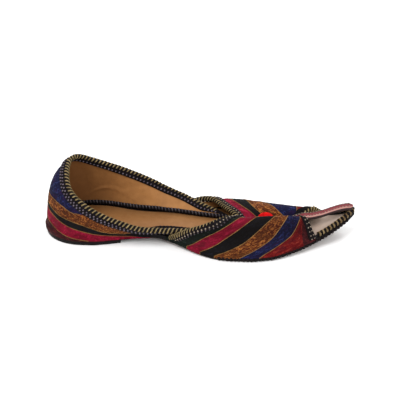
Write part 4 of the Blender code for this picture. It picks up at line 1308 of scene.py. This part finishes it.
COLLAR, FRONT = (quarter_point, COLLAR_LEGS), (vamp_point, FRONT_LEGS)
collar, throat = collar_places[1:-1], throat_places[2:-2]
half = len(opening_places) // 2
outer_opening, inner_opening = opening_places[2:half], opening_places[half:-2]
threads = {
    "collar_binding": (
        bars("collar_bars", collar, reach=1.1, width=1.15, height=0.5, pitch=3.2),
        dots("collar_dots", collar, COLLAR, ((0, 2.9), (0, 4.8), (1, 3.6)), "thread_lilac",
             width=1.2, half=0.7, lean=-20.0)),
    "throat_binding": (
        bars("throat_bars", throat, reach=1.2, width=0.9, height=0.45, pitch=2.7),
        dots("throat_dots", throat, FRONT, ((0, 2.7), (1, 2.9)), "thread_cream", width=1.1),
        dots("throat_faint_dots", throat, FRONT, ((0, 4.2),), "thread_grey", width=1.0)),
    "toe_opening_binding": (
        dots("toe_opening_dots", outer_opening, FRONT, ((0, 0.3), (0, 2.9), (1, 1.6)), "thread_cream",
             width=0.9, half=0.45),
        bars("toe_opening_bars", inner_opening, reach=1.8, width=1.2, height=0.42, pitch=2.7)),
}

# %% [markdown]
# ### Gold cord between the ribbons
#
# A thin twisted cord covers the seam between two ribbons.  Short fat beads, each leaning across
# the line and overlapping the next, read as the turns of a two-ply twist.
# %% Gold cords
CORD_PATH = ((-0.27, -0.10), (-0.13, 0.18), (0.13, 0.18), (0.27, -0.10))
QUARTER_SEAMS = ((1, 0.165), (2, 0.285), (3, 0.268), (4, 0.13))     # ribbon line, reach from the heel


def seam(skins_at, line, places):
    """Rail on an outer skin along one ribbon line."""
    spots = [skins_at(line, spot) for spot in places]
    return [(outer + normal * 0.02, normal) for outer, _, normal in spots]


down = SKIRT_UP * 0.9
seam_places = np.concatenate(((-down,), np.linspace(0.0, 1.0, 150), (1.0 + down,)))
# no cord on the last ribbon line, where the red ribbon's painted shade begins
vamp_seams = [seam(vamp_skins, line, seam_places) for line in range(1, len(VAMP_RIBBONS) - 1)]
quarter_seams = [seam(quarter_skins, line, np.linspace(HEEL_ALONG - reach, HEEL_ALONG + reach, 160))
                 for line, reach in QUARTER_SEAMS]
cords = [set_stitches(name, rails, stitch_form(CORD_PATH, width=0.6, height=0.2), pitch=0.72,
                      finish_name="cord_gold", lean=38.0)
         for name, rails in (("vamp_gold_cords", vamp_seams), ("quarter_gold_cords", quarter_seams))]

# %% [markdown]
# ### The toe rim
#
# Round the open toe the sole's edge is bound with a fatter roll of tape, and a dull gold thread
# goes over it in fat bars.
# %% Toe rim
RIM_CLEAR = 3.0
RIM_LIFT = 0.45
RIM_STEPS = 60
RIM_SECTION = ((0.35, 0.3), (0.05, 1.0), (0.15, 1.9), (0.7, 2.7), (1.7, 3.15), (2.8, 2.85), (3.45, 1.9),
               (3.5, 0.9), (3.1, 0.1), (1.8, -0.2))
RIM_PATH = ((1.95, -1.2), (2.0, -0.4), (1.72, 0.75), (1.0, 1.5), (0.0, 1.75), (-1.0, 1.5), (-1.72, 0.75),
            (-2.0, -0.4), (-1.95, -1.2))


def rim_side(column, inset):
    """Stations and y along one side of the rim."""
    start = VAMP_LINES[-1, 0 if column == 1 else -1] + RIM_CLEAR
    return [(s, edge_y(s, column, inset)) for s in np.linspace(start, tip_station(inset), RIM_STEPS)]


rim_loops = [[(s, y, margin_top(s) + RIM_LIFT + rise)
              for s, y in rim_side(1, inset) + rim_side(2, inset)[::-1]] for inset, rise in RIM_SECTION]
rim = make_piece("toe_rim_roll", [point for section in zip(*rim_loops) for point in section],
                 capped(len(rim_loops), len(rim_loops[0])), (plain["tape_black"],))
rim_rail = [(middle, UP) for middle in np.mean(np.array(rim_loops), axis=0)]
rim_bars = set_stitches("toe_rim_bars", [rim_rail[1:-1]],
                        stitch_form(RIM_PATH, width=2.4, height=0.45, slant=0.15),
                        pitch=3.4, finish_name="thread_olive", lean=12.0, variation=0.05)

# %% [markdown]
# ## The toe strip
#
# A strip of maroon leather covers the seam valley and runs out in the air to the toe's tip.  It
# is two layers thick, with a dark cut edge, and a pale running stitch goes down each side.
# %% Toe strip
STRIP = np.array((
    # station, centre y, underside's height where the strip has left the vamp
    (163.0, -8.4, 17.0),
    (175.0, -8.4, 16.0),
    (187.0, -8.0, 14.0),
    (200.0, -6.0, 15.4),
    (212.0, -2.4, 19.3),
    (222.0, -0.6, 17.4),
    (231.0, 1.6, 18.5),
    (240.0, 3.2, 21.4),
    (248.0, 4.1, 23.8),
    (256.6, 4.4, 25.4),
))
STRIP_START, STRIP_END = STRIP[0, 0], STRIP[-1, 0]
STRIP_HALF = 4.3
STRIP_POINT_HALF = 0.6
STRIP_THICKNESS = 2.0
STRIP_ROUND_END = 4.0
STRIP_POINT = 9.0
STRIP_NOSE = 6.0
STRIP_NOSE_DROP = 1.8
STRIP_NOSE_THIN = 0.35
STRIP_SAG = 0.6
STRIP_SAGS_OVER = (214.0, 224.0)
STRIP_LEAVES_VAMP = (212.0, 222.0)
STRIP_ABOVE_VAMP = 2.92
STRIP_STITCHES = (-0.44, 0.74)      # where the two running stitches lie across the strip
STRIP_STITCH_ENDS = (4.0, 3.4)      # distances that they keep from the strip's ends
STRIP_STITCH_LIFT = 0.06
# across the strip, height, and finish of the face that follows: 0 top, 1 cut side, 2 pale margin
STRIP_SECTION = (
    (-0.93, 0.05, 1), (-0.5, 0.05, 1), (0.0, 0.05, 1), (0.5, 0.05, 1), (0.93, 0.05, 1),
    (1.0, 0.35, 1), (1.0, 1.45, 1), (0.93, 1.85, 1), (0.62, 2.06, 0), (0.0, 2.12, 0),
    (-0.5, 2.04, 2), (-0.9, 1.75, 1), (-1.0, 1.3, 1), (-1.0, 0.35, 1))
strip_middle = steady(STRIP[:, 0], STRIP[:, 1:])


def risen(station, stretch):
    """0 before a stretch of stations, 1 after it, with a soft change between."""
    return eased((station - stretch[0]) / (stretch[1] - stretch[0]))


def vamp_above(station, y):
    """Height at which a piece lies clear of the vamp's bindings at a station and y."""
    across = halved(ACROSS[2], ACROSS[6], lambda share: vamp_point(station, share)[1] < y)
    point, normal = framed(vamp_point, station, across)
    return point[2] + STRIP_ABOVE_VAMP / max(0.5, abs(normal[2]))


def strip_half_width(station):
    """Half the strip's width, with a point at the throat and a round end at the tip."""
    from_start, to_end = station - STRIP_START, STRIP_END - station
    if from_start < STRIP_POINT:
        return STRIP_POINT_HALF + (STRIP_HALF - STRIP_POINT_HALF) * from_start / STRIP_POINT
    if to_end < STRIP_ROUND_END:
        return STRIP_HALF * math.sqrt(max(0.04, 1.0 - (1.0 - to_end / STRIP_ROUND_END) ** 2))
    return STRIP_HALF


def strip_underside(station, share):
    """Point of the strip's underside, share from -1 at the outer side to 1 at the inner."""
    centre_y, height = strip_middle(station)
    free = risen(station, STRIP_LEAVES_VAMP)
    y = centre_y + strip_half_width(station) * share
    on_vamp = vamp_above(station, y) if free < 1.0 else height
    return np.array((station, y, on_vamp + (height - on_vamp) * free))


def build_strip():
    """The leather strip with softly rounded edges."""
    stations = list(np.linspace(STRIP_START, STRIP_END - STRIP_ROUND_END, 90))
    stations += [STRIP_END - STRIP_ROUND_END * share for share in (0.85, 0.7, 0.55, 0.4, 0.25, 0.12, 0.0)]
    points = []
    for station in stations:
        nose = risen(station, (STRIP_END - STRIP_NOSE, STRIP_END))
        sag = STRIP_SAG * risen(station, STRIP_SAGS_OVER)
        for share, rise, _ in STRIP_SECTION:
            lower = sag + (STRIP_NOSE_DROP - sag) * nose if rise < 0.5 else 0.0
            height = rise * (1.0 - STRIP_NOSE_THIN * nose) - lower
            points.append(strip_underside(station, share) + UP * height)
    slots = [slot for _, _, slot in STRIP_SECTION] * (len(stations) - 1) + [1, 1]
    return make_piece("toe_strip_leather", points, capped(len(STRIP_SECTION), len(stations)),
                      (plain["strip_top"], plain["strip_side"], plain["strip_margin"]), slots, sharp=60.0)


strip = build_strip()
strip_rails = [[(strip_underside(station, share) + UP * (STRIP_THICKNESS + STRIP_STITCH_LIFT), UP)
                for station in np.linspace(STRIP_START + STRIP_STITCH_ENDS[0],
                                           STRIP_END - STRIP_STITCH_ENDS[1], 90)]
               for share in STRIP_STITCHES]
RUN_PATH = ((-0.42, -0.08), (-0.2, 0.1), (0.2, 0.1), (0.42, -0.08))
strip_stitches = set_stitches("toe_strip_stitches", strip_rails,
                              stitch_form(RUN_PATH, width=1.3, height=0.3),
                              pitch=2.4, finish_name="thread_cream")

# %% [markdown]
# ## The pompom
#
# A bundle of cut yarn trimmed to a flattened ball.  A lumpy core carries 2,600 short tufts that
# point outwards, spread evenly by the golden angle and set by the tuft tree.
# %% Pompom
POMPOM_STATION = 187.0
POMPOM_RADIUS = 6.2
POMPOM_HALF_HEIGHT = 3.9
POMPOM_SEAT = 4.72              # from the strip's top to the ball's middle
POMPOM_LUMP = 0.18
POMPOM_SINK = 0.985             # where the tufts are rooted, as a share of the ball's size
TUFT_COUNT = 2600
TUFT_AIM = np.array((1.0, 1.0, 0.68))       # the ball's flatness in the tufts' directions
TUFT_LEAN = 0.5
TUFT_SEED = 4
TUFT_SIDES = 5
TUFT_RINGS = ((0.30, -0.5), (0.30, 0.1), (0.22, 0.42), (0.06, 0.56))      # radius, height
ball = np.array((POMPOM_RADIUS, POMPOM_RADIUS, POMPOM_HALF_HEIGHT))
pompom_y = strip_middle(POMPOM_STATION)[0]
pompom_z = vamp_above(POMPOM_STATION, pompom_y) + STRIP_THICKNESS + POMPOM_SEAT
pompom_centre = np.array((POMPOM_STATION, pompom_y, pompom_z))


def round_way(height, turn):
    """Direction with a given height and turn."""
    flat = math.sqrt(1.0 - height * height)
    return np.array((flat * math.cos(turn), flat * math.sin(turn), height))


def build_pompom_core():
    """Lumpy flattened ball."""
    rounds, rows = 72, 36
    points = []
    for row in range(1, rows):
        tilt = math.pi * row / rows - math.pi / 2
        for turn in 2 * math.pi * np.arange(rounds) / rounds:
            lump = POMPOM_LUMP * math.sin(7 * turn + 2 * math.sin(5 * tilt)) * math.cos(4 * tilt)
            points.append(pompom_centre + round_way(math.sin(tilt), turn) * (ball + lump))
    last = (rows - 2) * rounds
    low, high = len(points), len(points) + 1
    points += [pompom_centre - UP * POMPOM_HALF_HEIGHT, pompom_centre + UP * POMPOM_HALF_HEIGHT]
    faces = bridge(rounds, rows - 1)
    for index in range(rounds):
        after = (index + 1) % rounds
        faces += [(after, index, low), (last + index, last + after, high)]
    return make_piece("pompom_core", points, faces, (plain["yarn_red"],))


pompom = build_pompom_core()
tuft_spots = []
for step in range(TUFT_COUNT):
    way = round_way(1.0 - 2.0 * (step + 0.5) / TUFT_COUNT, step * math.pi * (3.0 - math.sqrt(5.0)))
    tuft_spots.append((pompom_centre + way * ball * POMPOM_SINK, unit(way / TUFT_AIM)))
tuft_form = form_of([(radius * math.cos(2 * math.pi * side / TUFT_SIDES),
                      radius * math.sin(2 * math.pi * side / TUFT_SIDES), height)
                     for radius, height in TUFT_RINGS for side in range(TUFT_SIDES)],
                    capped(TUFT_SIDES, len(TUFT_RINGS)))
tufts = grow("pompom_tufts", TUFTS, tuft_spots, [], tuft_form, "yarn_red", Lean=TUFT_LEAN, Seed=TUFT_SEED)

# %% [markdown]
# ## Piping and sole stitches
#
# A dark cord covers the joint between insole and quarter, wrapped in grey thread, and its ends
# run on under the vamp.  Along the forefoot the vamp is sewn down through the sole's edge with
# a thick dark thread, which makes the sole's outline softly scalloped.
# %% Piping along the insole's edge
PIPING_RADIUS = 1.5
PIPING_HALF_HEIGHT = 2.1
PIPING_CLEAR = 0.2
PIPING_END = 0.006
PIPING_TAIL = 14.0
PIPING_SIDES = 12


def piping_route():
    """Middle of the cord and the way inwards, along the foot of the quarter and on as tails."""
    route = []
    for along in np.linspace(PIPING_END, 1.0 - PIPING_END, 220):
        base, top = quarter_point(along, 0.0), quarter_point(along, 1.0)
        height = insole_top(base[0]) + GAP + PIPING_HALF_HEIGHT
        centre, normal = framed(quarter_point, along, (height - base[2]) / (top[2] - base[2]))
        flat = np.array((normal[0], normal[1], 0.0))
        centre -= unit(flat) * (WALL / 2 + PIPING_CLEAR + PIPING_RADIUS) / np.linalg.norm(flat)
        centre[2] = height
        route.append((centre, -unit(flat)))
    for end, beside in ((0, 1), (-1, -2)):
        last, inward = route[end]
        ahead = unit(last - route[beside][0])
        tail = [(last + ahead * PIPING_TAIL * share, inward) for share in (0.3, 0.65, 1.0)]
        route = tail[::-1] + route if end == 0 else route + tail
    return route


route = piping_route()
turns = np.radians(360.0 * (np.arange(PIPING_SIDES) + 0.5) / PIPING_SIDES)
piping = make_piece("piping_cord", [
    centre + inward * PIPING_RADIUS * math.cos(turn) + UP * PIPING_HALF_HEIGHT * math.sin(turn)
    for centre, inward in route for turn in turns], capped(PIPING_SIDES, len(route)), (plain["tape_black"],))
piping_rail = [(centre, unit(inward * 0.55 + UP)) for centre, inward in route[1:-1]]
WRAP_PATH = ((1.72, -0.3), (1.38, 0.78), (0.67, 1.63), (-0.07, 2.02), (-0.85, 2.1), (-1.5, 2.05))
piping_wraps = set_stitches("piping_wraps", [piping_rail], stitch_form(WRAP_PATH, width=1.0, height=0.3),
                            pitch=2.9, finish_name="thread_grey", lean=30.0)

# %% Stitches through the sole's edge
SOLE_STITCH_PATH = ((-1.2, 0.1), (-0.3, 0.35), (0.24, 0.0), (0.34, -0.8), (0.2, -1.6), (-0.4, -2.1))
SOLE_STITCH_STATIONS = np.linspace(152.0, 252.0, 120)
# away points up, and each rail runs so that y of the stitch points out of the sole
outer_rail, inner_rail = ([(np.array((station, edge_y(station, column, 0.0), outsole_top(station))), UP)
                           for station in SOLE_STITCH_STATIONS] for column in (1, 2))
sole_stitches = set_stitches("sole_edge_stitches", [outer_rail[::-1], inner_rail],
                             stitch_form(SOLE_STITCH_PATH, width=2.7, height=0.62),
                             pitch=3.1, finish_name="thread_dark", variation=0.05)

# %% [markdown]
# ## What each piece stands for
#
# Every visible piece rides on the shoe's one body.  The solids that the detailed pieces stand
# for are hidden, and remain for collision.
# %% Ride and replace
STANDS_FOR = (
    (heel_lift, "heel_lift"), (outsole, "outsole"), (insole, "insole"), (vamp, "upper"), (quarter, "upper"),
    (margin, "upper"), (collar_tape, "collar_binding"), (throat_tape, "throat_binding"),
    (opening_tape, "toe_opening_binding"), (rim, "toe_rim_binding"), (strip, "toe_strip"),
    (pompom, "pompom"), (piping, "insole_piping"),
)
for piece, node in STANDS_FOR:
    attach(piece, "root")
    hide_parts(node)
TRIMS = (
    *((piece, node) for node, pieces in threads.items() for piece in pieces),
    (cords[0], "upper"), (cords[1], "upper"), (rim_bars, "toe_rim_binding"),
    (strip_stitches, "toe_strip"), (tufts, "pompom"), (piping_wraps, "insole_piping"),
    (sole_stitches, "outsole"),
)
for piece, slot in TRIMS:
    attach(piece, "root")
print("pieces:", len(STANDS_FOR) + len(TRIMS))

# %% [markdown]
# ## Floor, light and camera
#
# The shoe stands on a plain pale floor that curves up behind it, under large soft lamps.  The
# camera looks a little down on the outer side, with a moderate lens.
# %% Floor
FLOOR_HALF = 2.4
FLOOR_PROFILE = ((-1.6, -0.0002), (0.9, -0.0002), (1.2, 0.02), (1.5, 0.12), (1.75, 0.35), (1.9, 0.8),
                 (1.95, 2.0))       # y, z


def build_floor():
    """Pale sheet that lies under the shoe and rises softly far behind it."""
    mesh = bpy.data.meshes.new("floor")
    points = [(x, y, z) for y, z in FLOOR_PROFILE for x in (-FLOOR_HALF, FLOOR_HALF)]
    faces = [(2 * i, 2 * i + 1, 2 * i + 3, 2 * i + 2) for i in range(len(FLOOR_PROFILE) - 1)]
    mesh.from_pydata(points, [], faces)
    mesh.shade_smooth()
    paint = bpy.data.materials.new("floor_paper")
    paint.use_nodes = True
    shader = paint.node_tree.nodes["Principled BSDF"].inputs
    shader["Base Color"].default_value = dye(246, 246, 246)
    shader["Roughness"].default_value = 0.9
    shader["Specular IOR Level"].default_value = 0.1
    mesh.materials.append(paint)
    return show("floor", mesh)


build_floor()

# %% Lamps
LAMPS_AIM = Vector((0.09, 0.0, 0.02))
LAMPS = (
    # name, place, diameter, power in watts
    ("key", (-0.35, -0.55, 1.25), 0.9, 13.0),
    ("fill", (0.9, -1.1, 0.9), 1.2, 8.0),
    ("back", (0.2, 1.1, 1.1), 1.0, 9.0),
)
ROOM_LIGHT = 0.75
for name, place, size, power in LAMPS:
    light = bpy.data.lights.new(name, "AREA")
    light.shape = "DISK"
    light.size = size
    light.energy = power
    lamp = show(name, light)
    lamp.location = place
    lamp.rotation_euler = (LAMPS_AIM - Vector(place)).to_track_quat("-Z", "Y").to_euler()
world = bpy.data.worlds.new("soft_room")
world.use_nodes = True
room = world.node_tree.nodes["Background"].inputs
room["Color"].default_value = (1.0, 1.0, 1.0, 1.0)
room["Strength"].default_value = ROOM_LIGHT
bpy.context.scene.world = world
bpy.context.scene.view_settings.view_transform = "Standard"

# %% [markdown]
# The camera stands 29 degrees above the floor and 7 degrees round from the shoe's outer side,
# 52 cm from the middle of the shoe, and is rolled a little.  A small shift frames the shoe.
# %% Camera
CAMERA_TARGET = np.array((0.095, 0.0, 0.020))
CAMERA_DISTANCE = 0.51997
CAMERA_LENS, CAMERA_SENSOR = 56.56, 36.0
CAMERA_SHIFT = (0.0111, 0.0247)
AZIMUTH, ELEVATION, ROLL = np.radians((7.322, 29.0, -1.674))

back = np.array((math.sin(AZIMUTH) * math.cos(ELEVATION), -math.cos(AZIMUTH) * math.cos(ELEVATION),
                 math.sin(ELEVATION)))
level = np.array((math.cos(AZIMUTH), math.sin(AZIMUTH), 0.0))
upright = np.cross(back, level)
right = math.cos(ROLL) * level + math.sin(ROLL) * upright
above = -math.sin(ROLL) * level + math.cos(ROLL) * upright
camera_data = bpy.data.cameras.new("camera")
camera_data.lens, camera_data.sensor_width = CAMERA_LENS, CAMERA_SENSOR
camera_data.shift_x, camera_data.shift_y = CAMERA_SHIFT
camera = show("camera", camera_data)
turn = Matrix((right, above, back)).transposed().to_4x4()
camera.matrix_world = Matrix.Translation(Vector(CAMERA_TARGET + back * CAMERA_DISTANCE)) @ turn
bpy.context.scene.camera = camera
print("camera at", [round(c, 3) for c in camera.location])
